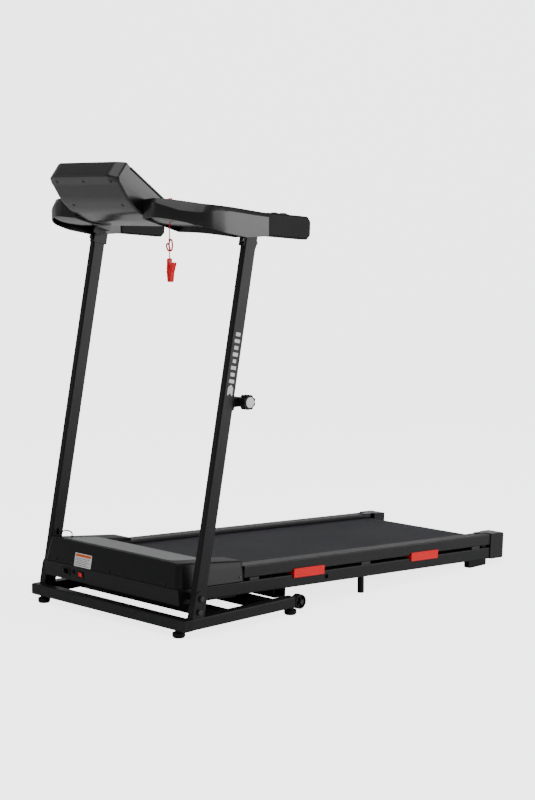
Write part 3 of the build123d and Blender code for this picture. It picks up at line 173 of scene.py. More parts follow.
# %% The moulded-grain group: fine bumps, slow colour drift and uneven sheen
grain, gin, gout = new_group(
    "moulded_grain",
    [
        ("Color", COLOUR, (0.05, 0.05, 0.05, 1)),
        ("Roughness", FLOAT, 0.5),
        ("Scale", FLOAT, 900.0),
        ("Depth", FLOAT, 0.2),
        ("Drift", FLOAT, 0.12),
    ],
    [("Color", COLOUR), ("Roughness", FLOAT), ("Normal", VECTOR)],
)
coords = grain.nodes.new("ShaderNodeTexCoord").outputs["Object"]
slow = noise(grain, coords, 6.0, 3.0)
fine = noise(grain, coords, gin.outputs["Scale"], 2.0, 0.6)
shift = math_node(grain, "SUBTRACT", slow, 0.5)
gain = math_node(grain, "MULTIPLY_ADD", shift, gin.outputs["Drift"])
gain.node.inputs[2].default_value = 1.0
scaled = grain.nodes.new("ShaderNodeVectorMath")
scaled.operation = "SCALE"
grain.links.new(gin.outputs["Color"], scaled.inputs[0])
grain.links.new(gain, scaled.inputs["Scale"])
grain.links.new(scaled.outputs[0], gout.inputs["Color"])
sheen = math_node(grain, "MULTIPLY_ADD", shift, 0.12)
grain.links.new(gin.outputs["Roughness"], sheen.node.inputs[2])
grain.links.new(sheen, gout.inputs["Roughness"])
bump = grain.nodes.new("ShaderNodeBump")
bump.inputs["Distance"].default_value = 0.0004
grain.links.new(gin.outputs["Depth"], bump.inputs["Strength"])
grain.links.new(fine, bump.inputs["Height"])
grain.links.new(bump.outputs[0], gout.inputs["Normal"])

# %% The ribbing group: straight ridges along the deck
ribs, rin, rout = new_group(
    "straight_ribs", [("Pitch", FLOAT, 0.004), ("Depth", FLOAT, 0.4)], [("Height", FLOAT)]
)
rib_x = ribs.nodes.new("ShaderNodeSeparateXYZ")
ribs.links.new(ribs.nodes.new("ShaderNodeTexCoord").outputs["Object"], rib_x.inputs[0])
phase = math_node(ribs, "DIVIDE", rib_x.outputs["X"], rin.outputs["Pitch"])
wave = math_node(ribs, "PINGPONG", phase, 0.5)
ridge = math_node(ribs, "SMOOTH_MIN", math_node(ribs, "MULTIPLY", wave, 4.0), 1.0)
ridge.node.inputs[2].default_value = 0.3
ribs.links.new(math_node(ribs, "MULTIPLY", ridge, rin.outputs["Depth"]), rout.inputs["Height"])

# %% The weave group: a fine over-and-under cloth pattern for the belt and the cord
weave, win, wout = new_group(
    "fine_weave", [("Pitch", FLOAT, 0.0016), ("Depth", FLOAT, 0.5)], [("Height", FLOAT)]
)
weave_xyz = weave.nodes.new("ShaderNodeSeparateXYZ")
weave.links.new(weave.nodes.new("ShaderNodeTexCoord").outputs["Object"], weave_xyz.inputs[0])
turns = math_node(weave, "DIVIDE", FULL_TURN, win.outputs["Pitch"])
wave_x = math_node(weave, "SINE", math_node(weave, "MULTIPLY", weave_xyz.outputs["X"], turns))
wave_y = math_node(weave, "SINE", math_node(weave, "MULTIPLY", weave_xyz.outputs["Y"], turns))
cross = math_node(weave, "MULTIPLY", wave_x, wave_y)
weave.links.new(math_node(weave, "MULTIPLY", cross, win.outputs["Depth"]), wout.inputs["Height"])


# %% [markdown]
# ## Finishes
# One function builds a finish from a Principled shader and the grain group. The special finishes
# add ribs, weave or printed masks to what it makes.


# %% Finish maker
def finish(name, colour, roughness, metallic=0.0, scale=900.0, depth=0.2, drift=0.12, coat=0.0):
    """A procedural finish; returns the material, its tree, its shader and its grain group node."""
    material = bpy.data.materials.new(name)
    material.use_nodes = True
    tree = material.node_tree
    shader = tree.nodes["Principled BSDF"]
    shader.inputs["Metallic"].default_value = metallic
    shader.inputs["Coat Weight"].default_value = coat
    shader.inputs["Coat Roughness"].default_value = COAT_ROUGHNESS
    shader.inputs["Specular IOR Level"].default_value = SHINE
    node = tree.nodes.new("ShaderNodeGroup")
    node.node_tree = grain
    node.inputs["Color"].default_value = (*colour, 1)
    node.inputs["Roughness"].default_value = roughness
    node.inputs["Scale"].default_value = scale
    node.inputs["Depth"].default_value = depth
    node.inputs["Drift"].default_value = drift
    tree.links.new(node.outputs["Color"], shader.inputs["Base Color"])
    tree.links.new(node.outputs["Roughness"], shader.inputs["Roughness"])
    tree.links.new(node.outputs["Normal"], shader.inputs["Normal"])
    return material, tree, shader, node


FINISHES = {
    "frame_paint": ((0.0085, 0.0087, 0.0098), 0.36, 0.0, 1500.0, 0.12, 0.15, 0.0),
    "black_plastic": ((0.004, 0.004, 0.0045), 0.5, 0.0, 1200.0, 0.2, 0.15, 0.0),
    "console_plastic": ((0.0050, 0.0051, 0.0058), 0.34, 0.0, 1400.0, 0.12, 0.12, 0.65),
    "hood_plastic": ((0.0060, 0.0060, 0.0066), 0.40, 0.0, 1400.0, 0.15, 0.12, 0.0),
    "cap_plastic": ((0.006, 0.006, 0.007), 0.2, 0.0, 1400.0, 0.05, 0.1, 0.2),
    "wheel_plastic": ((0.006, 0.006, 0.007), 0.42, 0.0, 1200.0, 0.15, 0.15, 0.0),
    "black_rubber": ((0.0035, 0.0035, 0.0038), 0.6, 0.0, 1000.0, 0.3, 0.2, 0.0),
    "grip_rubber": ((0.0055, 0.0055, 0.006), 0.6, 0.0, 1800.0, 0.3, 0.12, 0.0),
    "red_rubber": ((0.85, 0.008, 0.012), 0.45, 0.0, 1200.0, 0.15, 0.12, 0.0),
    "zinc_steel": ((0.05, 0.05, 0.053), 0.32, 0.8, 1500.0, 0.1, 0.3, 0.0),
    "dark_steel": ((0.03, 0.03, 0.032), 0.35, 0.8, 1500.0, 0.1, 0.3, 0.0),
    "spring_steel": ((0.5, 0.5, 0.51), 0.3, 1.0, 1500.0, 0.05, 0.2, 0.0),
    "roller_steel": ((0.45, 0.45, 0.46), 0.32, 1.0, 1500.0, 0.08, 0.15, 0.0),
    "nylon": ((0.7, 0.69, 0.64), 0.5, 0.0, 1200.0, 0.1, 0.06, 0.0),
    "grey_plastic": ((0.03, 0.03, 0.032), 0.42, 0.0, 1200.0, 0.15, 0.12, 0.0),
    "circuit": ((0.01, 0.08, 0.03), 0.4, 0.0, 700.0, 0.3, 0.3, 0.2),
    "silver": ((0.16, 0.163, 0.17), 0.33, 0.3, 1600.0, 0.05, 0.05, 0.2),
    "red_plastic": ((0.90, 0.010, 0.016), 0.3, 0.0, 1200.0, 0.06, 0.1, 0.2),
    "white_print": ((0.72, 0.72, 0.74), 0.5, 0.0, 1200.0, 0.05, 0.04, 0.0),
    "white_plastic": ((0.78, 0.78, 0.77), 0.4, 0.0, 1200.0, 0.06, 0.05, 0.1),
    "orange_print": ((0.75, 0.13, 0.02), 0.5, 0.0, 1200.0, 0.05, 0.04, 0.0),
}
SHINE = 0.2
COAT_ROUGHNESS = 0.2
materials = {}
for slot_name, values in FINISHES.items():
    materials[slot_name] = finish(slot_name, *values)[0]

# %% Side rails: satin black with a ribbed tread
RAIL_BLACK = (0.0085, 0.0085, 0.0095)
rail_finish, tree, shader, node = finish("side_rail", RAIL_BLACK, 0.34, 0.0, 1400.0, 0.1, 0.12, 0.1)
rib_node = tree.nodes.new("ShaderNodeGroup")
rib_node.node_tree = ribs
rail_bump = tree.nodes.new("ShaderNodeBump")
rail_bump.inputs["Distance"].default_value = 0.0006
rail_bump.inputs["Strength"].default_value = 0.5
tree.links.new(rib_node.outputs["Height"], rail_bump.inputs["Height"])
tree.links.new(node.outputs["Normal"], rail_bump.inputs["Normal"])
tree.links.new(rail_bump.outputs[0], shader.inputs["Normal"])
materials["side_rail"] = rail_finish

# %% Belt: dark blue-grey with a fine weave
belt_finish, tree, shader, node = finish("belt", (0.0165, 0.0170, 0.0235), 0.55, 0.0, 700.0, 0.3, 0.1, 0.0)
weave_node = tree.nodes.new("ShaderNodeGroup")
weave_node.node_tree = weave
weave_node.inputs["Pitch"].default_value = 0.003
belt_bump = tree.nodes.new("ShaderNodeBump")
belt_bump.inputs["Distance"].default_value = 0.0004
belt_bump.inputs["Strength"].default_value = 0.4
tree.links.new(weave_node.outputs["Height"], belt_bump.inputs["Height"])
tree.links.new(node.outputs["Normal"], belt_bump.inputs["Normal"])
tree.links.new(belt_bump.outputs[0], shader.inputs["Normal"])
materials["belt"] = belt_finish

# %% Cord: red braid
cord_finish, tree, shader, node = finish("red_cord", (0.90, 0.010, 0.016), 0.6, 0.0, 1500.0, 0.4, 0.2, 0.0)
braid = tree.nodes.new("ShaderNodeGroup")
braid.node_tree = weave
braid.inputs["Pitch"].default_value = 0.0014
cord_bump = tree.nodes.new("ShaderNodeBump")
cord_bump.inputs["Distance"].default_value = 0.0003
tree.links.new(braid.outputs["Height"], cord_bump.inputs["Height"])
tree.links.new(cord_bump.outputs[0], shader.inputs["Normal"])
materials["red_cord"] = cord_finish

# %% Running board: brown fibre board
materials["board"] = finish("board", (0.16, 0.11, 0.07), 0.55, 0.0, 300.0, 0.2, 0.4, 0.0)[0]

# %% Display window: smoked, nearly black, with a faint tint
WINDOW_TINT = (0.008, 0.010, 0.012)
materials["window"] = finish("window", WINDOW_TINT, 0.08, 0.0, 1500.0, 0.0, 0.1, 0.6)[0]

# %% Keypad: a membrane with a grid of printed keys
KEY_HALF_PITCH_X, KEY_HALF_PITCH_Z = 0.0135, 0.0069
KEY_HALF_X, KEY_HALF_Z = 0.0095, 0.0048
keypad_finish, tree, shader, node = finish("keypad", (0.03, 0.03, 0.033), 0.45, 0.0, 1500.0, 0.1, 0.1)
keypad_xyz = tree.nodes.new("ShaderNodeSeparateXYZ")
tree.links.new(tree.nodes.new("ShaderNodeTexCoord").outputs["Object"], keypad_xyz.inputs[0])
key_shift = math_node(tree, "ADD", keypad_xyz.outputs["X"], KEY_HALF_PITCH_X)
key_x = math_node(tree, "PINGPONG", key_shift, KEY_HALF_PITCH_X)
key_z = math_node(tree, "PINGPONG", keypad_xyz.outputs["Z"], KEY_HALF_PITCH_Z)
inside_x = math_node(tree, "LESS_THAN", key_x, KEY_HALF_X)
inside_z = math_node(tree, "LESS_THAN", key_z, KEY_HALF_Z)
key_mask = math_node(tree, "MULTIPLY", inside_x, inside_z)
keys = mixed_colour(tree, key_mask, (0.008, 0.008, 0.009, 1), (0.10, 0.10, 0.11, 1))
tree.links.new(keys, shader.inputs["Base Color"])
materials["keypad"] = keypad_finish

for entry in record["subparts"]:
    piece = nodes[entry["node"]]
    for material_slot in piece.material_slots:
        material_slot.material = materials[entry["material_slot"]]
print(len(materials), "finishes on", len(record["subparts"]), "packed nodes")

# %% [markdown]
# ## Cords
# The safety lanyard leaves the key on the display, climbs over the edge of the housing, drops
# through the slot in the left arm and hangs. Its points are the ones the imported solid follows.

# %% Lanyard cord
CORD = 0.0014

display_angle = math.atan2(1203.0 - 1088.0, 150.0 + 12.0)
ddir = np.array([0, math.cos(display_angle), -math.sin(display_angle)])
dnorm = np.array([0, math.sin(display_angle), math.cos(display_angle)])


def on_display(x, down, up):
    """A point on the display face, in millimetres: across, down the face and out of it."""
    p = np.array([x, FRONT / MM - 12.0, 1203.0]) + down * ddir + up * dnorm
    return p * MM


key_top = on_display(100, 172, -1.4 + 12)
cord_points = [
    key_top,
    key_top + dnorm * 0.0075,
    (0.1040, at(144.0), 1.1220),
    (0.1125, at(146.5), 1.1230),
    (0.1265, at(139.0), 1.1220),
    (0.1410, at(124.0), 1.1205),
    (0.1570, at(105.0), 1.1205),
    (0.1720, at(90.0), 1.1170),
    (0.1790, at(83.0), 1.1030),
    (0.1800, at(81.0), 1.0800),
    (0.1810, at(81.5), 1.0600),
    (0.1800, at(81.0), 1.0400),
    (0.1804, at(81.0), 1.0200),
    (0.1790, at(81.0), 1.0030),
    (0.1800, at(81.0), 0.9860),
    (0.1803, at(80.7), 0.9780),
    (0.1800, at(81.0), 0.9620),
]


def nurbs_cord(name, points, radius):
    """A tube along an open NURBS curve of order 3 through its end points."""
    data = bpy.data.curves.new(name, "CURVE")
    data.dimensions = "3D"
    data.resolution_u = 8
    data.bevel_depth = radius
    data.bevel_resolution = 4
    data.use_fill_caps = True
    spline = data.splines.new("NURBS")
    spline.points.add(len(points) - 1)
    for target, p in zip(spline.points, points):
        target.co = (*[float(v) for v in p], 1.0)
    spline.order_u = 3
    spline.use_endpoint_u = True
    piece = bpy.data.objects.new(name, data)
    bpy.context.scene.collection.objects.link(piece)
    return piece


def piece_length(points):
    """The length of an order-3 NURBS through control points, by fine sampling."""
    pts = [np.asarray(p, float) for p in points]
    total = []
    for i in range(1, len(pts) - 1):
        start = pts[0] if i == 1 else (pts[i - 1] + pts[i]) / 2
        end = pts[-1] if i == len(pts) - 2 else (pts[i] + pts[i + 1]) / 2
        t = np.linspace(0, 1, 40)[:, None]
        total.append((1 - t) ** 2 * start + 2 * t * (1 - t) * pts[i] + t**2 * end)
    line = np.concatenate(total)
    return float(np.linalg.norm(np.diff(line, axis=0), axis=1).sum())


lanyard = nurbs_cord("lanyard", cord_points, CORD)
lanyard.data.materials.append(materials["red_cord"])
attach(lanyard, "safety_key")
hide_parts("lanyard_cord", "lanyard_tail")
print("lanyard", round(piece_length(cord_points), 4), "m")


# %% [markdown]
# ## Surfaces
# Each cover is a surface with a formula. These helpers turn grids of points into meshes.


# %% Mesh helpers
def make_piece(name, points, faces, slot, body, hides=(), sharp=30.0):
    """A mesh piece with outward normals that rides on a body and stands for some nodes."""
    mesh = bpy.data.meshes.new(name)
    mesh.from_pydata([tuple(p) for p in np.asarray(points, float)], [], [tuple(f) for f in faces])
    work = bmesh.new()
    work.from_mesh(mesh)
    bmesh.ops.remove_doubles(work, verts=work.verts, dist=1e-6)
    bmesh.ops.recalc_face_normals(work, faces=work.faces)
    for face in work.faces:
        face.smooth = True
    for edge in work.edges:
        if len(edge.link_faces) == 2 and edge.calc_face_angle(0.0) > math.radians(sharp):
            edge.smooth = False
    work.to_mesh(mesh)
    work.free()
    mesh.materials.append(materials[slot])
    piece = bpy.data.objects.new(name, mesh)
    bpy.context.scene.collection.objects.link(piece)
    if body:
        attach(piece, body)
    if hides:
        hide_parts(*hides)
    print(name, len(mesh.vertices), "points")
    return piece


def grid_faces(rows, columns, close_rows=False, close_columns=False, start=0):
    """Quads between the points of a grid stored row by row."""
    faces = []
    for i in range(rows if close_rows else rows - 1):
        for j in range(columns if close_columns else columns - 1):
            here = start + i * columns
            above = start + (i + 1) % rows * columns
            beside = (j + 1) % columns
            faces.append((here + j, here + beside, above + beside, above + j))
    return faces


def rounded_loop(corners, radii, steps=5):
    """A closed outline with each corner replaced by an arc; the count of points is constant."""
    p = np.asarray(corners, float)
    count = len(p)
    loop = []
    for i in range(count):
        before, corner, after = p[i - 1], p[i], p[(i + 1) % count]
        u = (before - corner) / (np.linalg.norm(before - corner) + 1e-12)
        v = (after - corner) / (np.linalg.norm(after - corner) + 1e-12)
        half = math.acos(np.clip(np.dot(u, v), -1, 1)) / 2
        radius = radii[i] if hasattr(radii, "__len__") else radii
        reach = radius / max(math.tan(half), 1e-6)
        limit = 0.49 * min(np.linalg.norm(before - corner), np.linalg.norm(after - corner))
        reach = min(reach, limit)
        t = np.linspace(0, 1, steps)[:, None]
        b0, b1, b2 = (1 - t) ** 2, 2 * t * (1 - t) * math.sin(half), t**2
        arc = (b0 * (corner + u * reach) + b1 * corner + b2 * (corner + v * reach)) / (b0 + b1 + b2)
        loop.append(arc)
    return np.concatenate(loop)


def inset_loop(loop, amount):
    """A closed outline moved inwards along its own normals; positive shrinks it."""
    p = np.asarray(loop, float)
    edge = np.roll(p, -1, 0) - np.roll(p, 1, 0)
    normal = np.stack([-edge[:, 1], edge[:, 0]], 1)
    normal /= np.linalg.norm(normal, axis=1)[:, None] + 1e-12
    area = 0.5 * np.sum(p[:, 0] * np.roll(p[:, 1], -1) - np.roll(p[:, 0], -1) * p[:, 1])
    return p + normal * amount * np.sign(area)


def smooth_line(points, count):
    """A Catmull-Rom line through points, sampled evenly in its parameter."""
    p = np.asarray(points, float)
    p = np.vstack([2 * p[0] - p[1], p, 2 * p[-1] - p[-2]])
    u = np.linspace(0, len(points) - 1, count)
    i = np.clip(u.astype(int), 0, len(points) - 2)
    t = (u - i)[:, None]
    a, b, c, d = p[i], p[i + 1], p[i + 2], p[i + 3]
    return 0.5 * (2 * b + (c - a) * t + (2 * a - 5 * b + 4 * c - d) * t**2 + (3 * b - a - 3 * c + d) * t**3)


# %% [markdown]
# ### Console housing
# The side view is a closed outline (behind, z). It is swept across, and at each end it shrinks
# along a quarter circle, so the outer edge is soft. The top band's corners are cut back.

# %% Console housing
HOUSING_HALF = 139.0
HOUSING_EDGE = 5.0
HOUSING_CORNERS = [
    (150.0, 1084.2), (-13.6, 1200.2), (-11.8, 1203.2), (-30.0, 1214.0), (-42.0, 1216.0), (-70.0, 1180.0),
    (-49.0, 1158.0), (-23.0, 1119.0), (12.0, 1087.0), (70.0, 1062.0), (137.0, 1050.0), (150.0, 1056.0),
]
HOUSING_RADII = [0.5, 0.5, 1.0, 10.0, 5.0, 6.0, 60.0, 110.0, 110.0, 110.0, 4.0, 6.0]
housing_view = rounded_loop(HOUSING_CORNERS, HOUSING_RADII, 9)


def housing_point_rows():
    """P(u, v) = (x(u), view(v) inset by e(u)); e = r(1 - cos a) and x = X - r(1 - sin a) at the ends."""
    rows = []
    turns = np.linspace(0, math.pi / 2, 6)
    xs = [HOUSING_HALF - HOUSING_EDGE * (1 - math.cos(a)) for a in turns]
    insets = [HOUSING_EDGE * (1 - math.sin(a)) for a in turns]
    middle = np.linspace(HOUSING_HALF - HOUSING_EDGE, -HOUSING_HALF + HOUSING_EDGE, 25)[1:-1]
    all_x = xs + list(middle) + [-x for x in xs[::-1]]
    all_inset = insets + [0.0] * len(middle) + insets[::-1]
    for x, inset in zip(all_x, all_inset):
        loop = inset_loop(housing_view, inset)
        cut = np.clip((abs(x) - 112.0) / 27.0, 0, 1) * 15.0
        upper = np.clip((loop[:, 1] - 1168.0) / 14.0, 0, 1) * np.clip((-18.0 - loop[:, 0]) / 20.0, 0, 1)
        loop = loop + np.stack([upper * cut, -upper * cut * 0.1], 1)
        rows.append(on_floor(np.column_stack([np.full(len(loop), x), loop])))
    return rows


rows = housing_point_rows()
columns = len(housing_view)
housing_points = np.concatenate(rows)
faces = grid_faces(len(rows), columns, close_columns=True)
for row in (0, len(rows) - 1):
    faces.append(tuple(range(row * columns, (row + 1) * columns)))
make_piece("console_housing", housing_points, faces, "console_plastic", "base", ["console_back_shell"])
housing_skin = BVHTree.FromPolygons([tuple(p) for p in housing_points], faces)

# %% [markdown]
# ### Console arms
# An arm is a thin shell between an outer line and an inner line in plan. Its cross-section goes
# up the outer wall, over a bevel, across the top and down the inner wall, then back inside.

# %% Console arms
ARM_OUTER = [
    (139.3, 26), (170, 18), (197, 14), (227, 23), (255, 38), (279, 58), (298, 80), (309, 100),
    (315, 122), (319, 145), (320, 172), (320, 215), (320, 260), (320, 303),
]
ARM_INNER = [
    (139.3, 150), (160, 151), (180, 152.5), (195, 155), (210, 159), (226, 166), (240, 176), (253, 191),
    (262, 204), (269, 217), (275, 236), (279, 252), (280, 270), (280, 303),
]
TOP_D, TOP_Z = (10, 50, 81, 160, 303), (1125, 1116, 1110, 1102, 1085.5)
LOW_D, LOW_Z = (10, 81, 150, 225, 303), (1076, 1053, 1035, 1022, 1025)
BEVEL_T = (0.0, 0.12, 0.2, 0.32, 0.45, 0.6, 0.75, 1.0)
BEVEL_DROP = (5.0, 7.0, 16.0, 25.0, 24.0, 16.0, 12.0, 11.0)
BEVEL_WIDE = (4.0, 5.0, 8.0, 13.0, 13.0, 9.0, 7.0, 6.0)
ARM_SKIN = 2.5
ARM_ROWS = 90
FLOOR_PLATE = (139.3, 258.0)


def arm_sections(side):
    """P(t, v) = O(t) + w(v, t) (I(t) - O(t)) / |I - O|, at height z(v, t) between low(d) and top(d)."""
    outer = smooth_line(ARM_OUTER, ARM_ROWS)
    inner = smooth_line(ARM_INNER, ARM_ROWS)
    rows = []
    for i, t in enumerate(np.linspace(0, 1, ARM_ROWS)):
        across = inner[i] - outer[i]
        width = np.linalg.norm(across)
        unit = across / width
        drop = np.interp(t, BEVEL_T, BEVEL_DROP)
        wide = np.interp(t, BEVEL_T, BEVEL_WIDE)
        top_o, top_i = np.interp([outer[i][1], inner[i][1]], TOP_D, TOP_Z)
        low_o, low_i = np.interp([outer[i][1], inner[i][1]], LOW_D, LOW_Z)
        s = ARM_SKIN
        section = [
            (0, low_o), (0, top_o - drop), (wide, top_o), (width, top_i), (width, low_i),
            (width - s, low_i), (width - s, top_i - s), (wide + s * 0.6, top_o - s),
            (s, top_o - drop - s * 0.6), (s, low_o),
        ]
        radii = [0.8, 7.0, 5.0, 3.0, 0.8, 0.8, 1.0, 3.0, 3.0, 0.8]
        loop = rounded_loop(section, radii, 5)
        plan = outer[i] + loop[:, :1] * unit
        rows.append(on_floor(np.column_stack([side * plan[:, 0], plan[:, 1], loop[:, 1]])))
    return rows


def arm_end_loop(rows, row):
    """The indices of the outer skin's points in one section, for a plate that closes the end."""
    count = len(rows[0])
    return [row * count + j for j in range(count // 2)]


points, faces = [], []
for side in (1, -1):
    rows = arm_sections(side)
    count = len(rows[0])
    start = len(points)
    points.extend(np.concatenate(rows))
    faces += grid_faces(len(rows), count, close_columns=True, start=start)
    for row in (0, len(rows) - 1):
        loop = arm_end_loop(rows, row)
        base = len(points)
        end = [points[start + k] for k in loop]
        points.extend(end)
        faces.append(tuple(range(base, base + len(end))))
    under = [(44.0, 1074.0), (58.0, 1066.5), (76.0, 1060.0), (100.0, 1055.0), (137.0, 1050.0)]
    over = [(d, z + 2.0) for d, z in reversed(under)]
    base = len(points)
    loop = under + over
    for x in FLOOR_PLATE:
        points.extend(on_floor([(side * x, d, z) for d, z in loop]))
    n = len(loop)
    faces += grid_faces(2, n, close_columns=True, start=base)
    faces.append(tuple(range(base, base + n)))
    faces.append(tuple(range(base + n, base + 2 * n)))
make_piece("console_arm_shells", points, faces, "console_plastic", "base", ["console_arms"])

# %% [markdown]
# ### Motor hood
# The hood's plan is a U, open to the rear. It leans in as it rises: x and s shrink in proportion
# to the height over the seam. Its top edge is a quarter round and its top face slopes down.

# %% Motor hood
SEAM, HOOD_HALF, HOOD_FRONT, HOOD_REAR = 20.0, 279.0, -45.2, 197.0
HOOD_INNER, HOOD_MIDDLE = 190.0, 110.0
SIDE_DRAFT, FRONT_DRAFT = 0.18, 0.132
HOOD_WALL_TALL = 60.0
TOP_FRONT, TOP_FALL = 86.7, 0.054
HOOD_ROUND = 7.0


def hood_plan(rise, inset):
    """The U outline so far over the seam: half = H - a rise and front = F + b rise, drafts a, b."""
    half = HOOD_HALF - SIDE_DRAFT * rise - inset
    front = HOOD_FRONT + FRONT_DRAFT * rise + inset
    rear, inner, middle = HOOD_REAR - inset, HOOD_INNER + inset, HOOD_MIDDLE - inset
    corners = [
        (half, front), (half, rear), (inner, rear), (inner, middle),
        (-inner, middle), (-inner, rear), (-half, rear), (-half, front),
    ]
    r = max(14.0 - inset, 4.0)
    return rounded_loop(corners, [r, r, 6.0, 8.0, 8.0, 6.0, r, r], 9)


def hood_rows():
    """Rows of (x, s, h): h runs from the seam to top(s) - r, then round a quarter circle to the top."""
    rows = []
    levels = [(0.0, 1.2), (1.2, 0.0)] + [(f * HOOD_WALL_TALL, 0.0) for f in (0.15, 0.35, 0.6, 0.85)]
    for rise, inset in levels:
        plan = hood_plan(rise, inset)
        rows.append(np.column_stack([plan, np.full(len(plan), SEAM + rise)]))
    for a in np.linspace(0, math.pi / 2, 6):
        inset = HOOD_ROUND * (1 - math.cos(a))
        plan = hood_plan(HOOD_WALL_TALL, inset)
        top = TOP_FRONT - (plan[:, 1] - HOOD_FRONT) * TOP_FALL
        rows.append(np.column_stack([plan, top - HOOD_ROUND * (1 - math.sin(a))]))
    return rows


rows = hood_rows()
columns = len(rows[0])
hood_points = on_deck(np.concatenate(rows))
faces = grid_faces(len(rows), columns, close_columns=True)
last = (len(rows) - 1) * columns
faces.append(tuple(range(last, last + columns)))
make_piece("hood_cover", hood_points, faces, "hood_plastic", "deck", ["motor_hood"], sharp=40.0)

# %% [markdown]
# ### Soft prisms
# Many small pieces are flat outlines with thickness and soft edges. Near each face the outline
# shrinks along a quarter circle: inset = r (1 - sin a) at depth r (1 - cos a).


# %% Soft prism, ring and tube makers
def soft_prism(loop, low, high, edge, place):
    """Rows of an outline (u, v) between two depths w, with rounded edges, mapped by place(u, v, w)."""
    turns = np.linspace(0, math.pi / 2, 5)
    depths = [low + edge * (1 - math.cos(a)) for a in turns]
    depths += [high - edge * (1 - math.cos(a)) for a in turns[::-1]]
    insets = [edge * (1 - math.sin(a)) for a in turns]
    insets += insets[::-1]
    points = []
    for w, inset in zip(depths, insets):
        ring = inset_loop(loop, inset)
        points.append(place(ring[:, 0], ring[:, 1], np.full(len(ring), w)))
    columns = len(loop)
    faces = grid_faces(len(depths), columns, close_columns=True)
    faces.append(tuple(range(columns)))
    faces.append(tuple(range((len(depths) - 1) * columns, len(depths) * columns)))
    return np.concatenate(points), faces


def join(parts):
    """Several (points, faces) pairs as one."""
    points, faces = [], []
    for some, quads in parts:
        start = len(points)
        points.extend(np.asarray(some))
        faces += [tuple(start + k for k in face) for face in quads]
    return points, faces


def circle_loop(radius, count=40, cx=0.0, cy=0.0):
    """A circle as a closed outline, anticlockwise."""
    a = np.linspace(0, 2 * math.pi, count, endpoint=False)
    return np.stack([cx + radius * np.cos(a), cy + radius * np.sin(a)], 1)


def tube_along(points, radius, closed=False, around=12):
    """A round tube: centre(t) + r (cos b N(t) + sin b B(t)), with a frame carried along the path."""
    p = np.asarray(points, float)
    ahead = np.roll(p, -1, 0) - np.roll(p, 1, 0) if closed else np.gradient(p, axis=0)
    ahead /= np.linalg.norm(ahead, axis=1)[:, None]
    side = np.cross(ahead[0], (0.3, 0.2, 0.93))
    side /= np.linalg.norm(side)
    angle = np.linspace(0, 2 * math.pi, around, endpoint=False)[:, None]
    rings = []
    for centre, t in zip(p, ahead):
        side = side - t * np.dot(side, t)
        side /= np.linalg.norm(side)
        up = np.cross(t, side)
        rings.append(centre + radius * (np.cos(angle) * side + np.sin(angle) * up))
    faces = grid_faces(len(p), around, close_rows=closed, close_columns=True)
    if not closed:
        faces.append(tuple(range(around)))
        faces.append(tuple(range((len(p) - 1) * around, len(p) * around)))
    return np.concatenate(rings), faces


def ball(centre, radii, rows=12, columns=18):
    """An ellipsoid: centre + (a sin p cos q, b sin p sin q, c cos p)."""
    p = np.linspace(0.02, math.pi - 0.02, rows)[:, None]
    q = np.linspace(0, 2 * math.pi, columns, endpoint=False)[None, :]
    x = np.sin(p) * np.cos(q) * radii[0] + centre[0]
    y = np.sin(p) * np.sin(q) * radii[1] + centre[1]
    z = np.cos(p) * np.ones_like(q) * radii[2] + centre[2]
    faces = grid_faces(rows, columns, close_columns=True)
    faces.append(tuple(range(columns)))
    faces.append(tuple(range((rows - 1) * columns, rows * columns)))
    return np.stack([x, y, z], -1).reshape(-1, 3), faces


# %% Console screws: a low ring with a domed head in it, set square to the housing's back
SCREW_SPOTS = ((-109, 1165), (0, 1165), (109, 1165), (-100, 1105), (100, 1105))
SCREW_RING, SCREW_HEAD = 4.6, 2.9
screw_rings, screw_heads = [], []
for x, z in SCREW_SPOTS:
    spot, outwards, _, _ = housing_skin.ray_cast(Vector((x * MM, FRONT - 0.3, z * MM)), Vector((0, 1, 0)))
    spot, outwards = np.array(spot), np.array(outwards)
    outwards *= -np.sign(outwards[1])
    rise = np.cross(outwards, (1.0, 0.0, 0.0))

    def on_skin(u, v, w, spot=spot, outwards=outwards, rise=rise):
        """Beside a screw's middle: u across, v up the housing, w out of it, in millimetres."""
        flat = np.outer(u, (1.0, 0.0, 0.0)) + np.outer(v, rise) + np.outer(w, outwards)
        return spot + flat * MM

    outer, inner = circle_loop(SCREW_RING), circle_loop(SCREW_HEAD + 0.4)
    edge = np.full(len(outer), 0.0)
    section = (
        (outer, -0.5), (outer, 0.3), (outer * 0.94, 0.6), (inner * 1.06, 0.6), (inner, 0.3), (inner, -0.5),
    )
    ring = np.concatenate([on_skin(*loop.T, edge + rise_here) for loop, rise_here in section])
    faces = grid_faces(len(section), len(outer), close_rows=True, close_columns=True)
    screw_rings.append((ring, faces))
    screw_heads.append(soft_prism(circle_loop(SCREW_HEAD), -0.5, 0.75, 0.5, on_skin))
make_piece("console_screw_rings", *join(screw_rings), "cap_plastic", "base")
make_piece("console_screw_heads", *join(screw_heads), "dark_steel", "base", ["console_screws"])

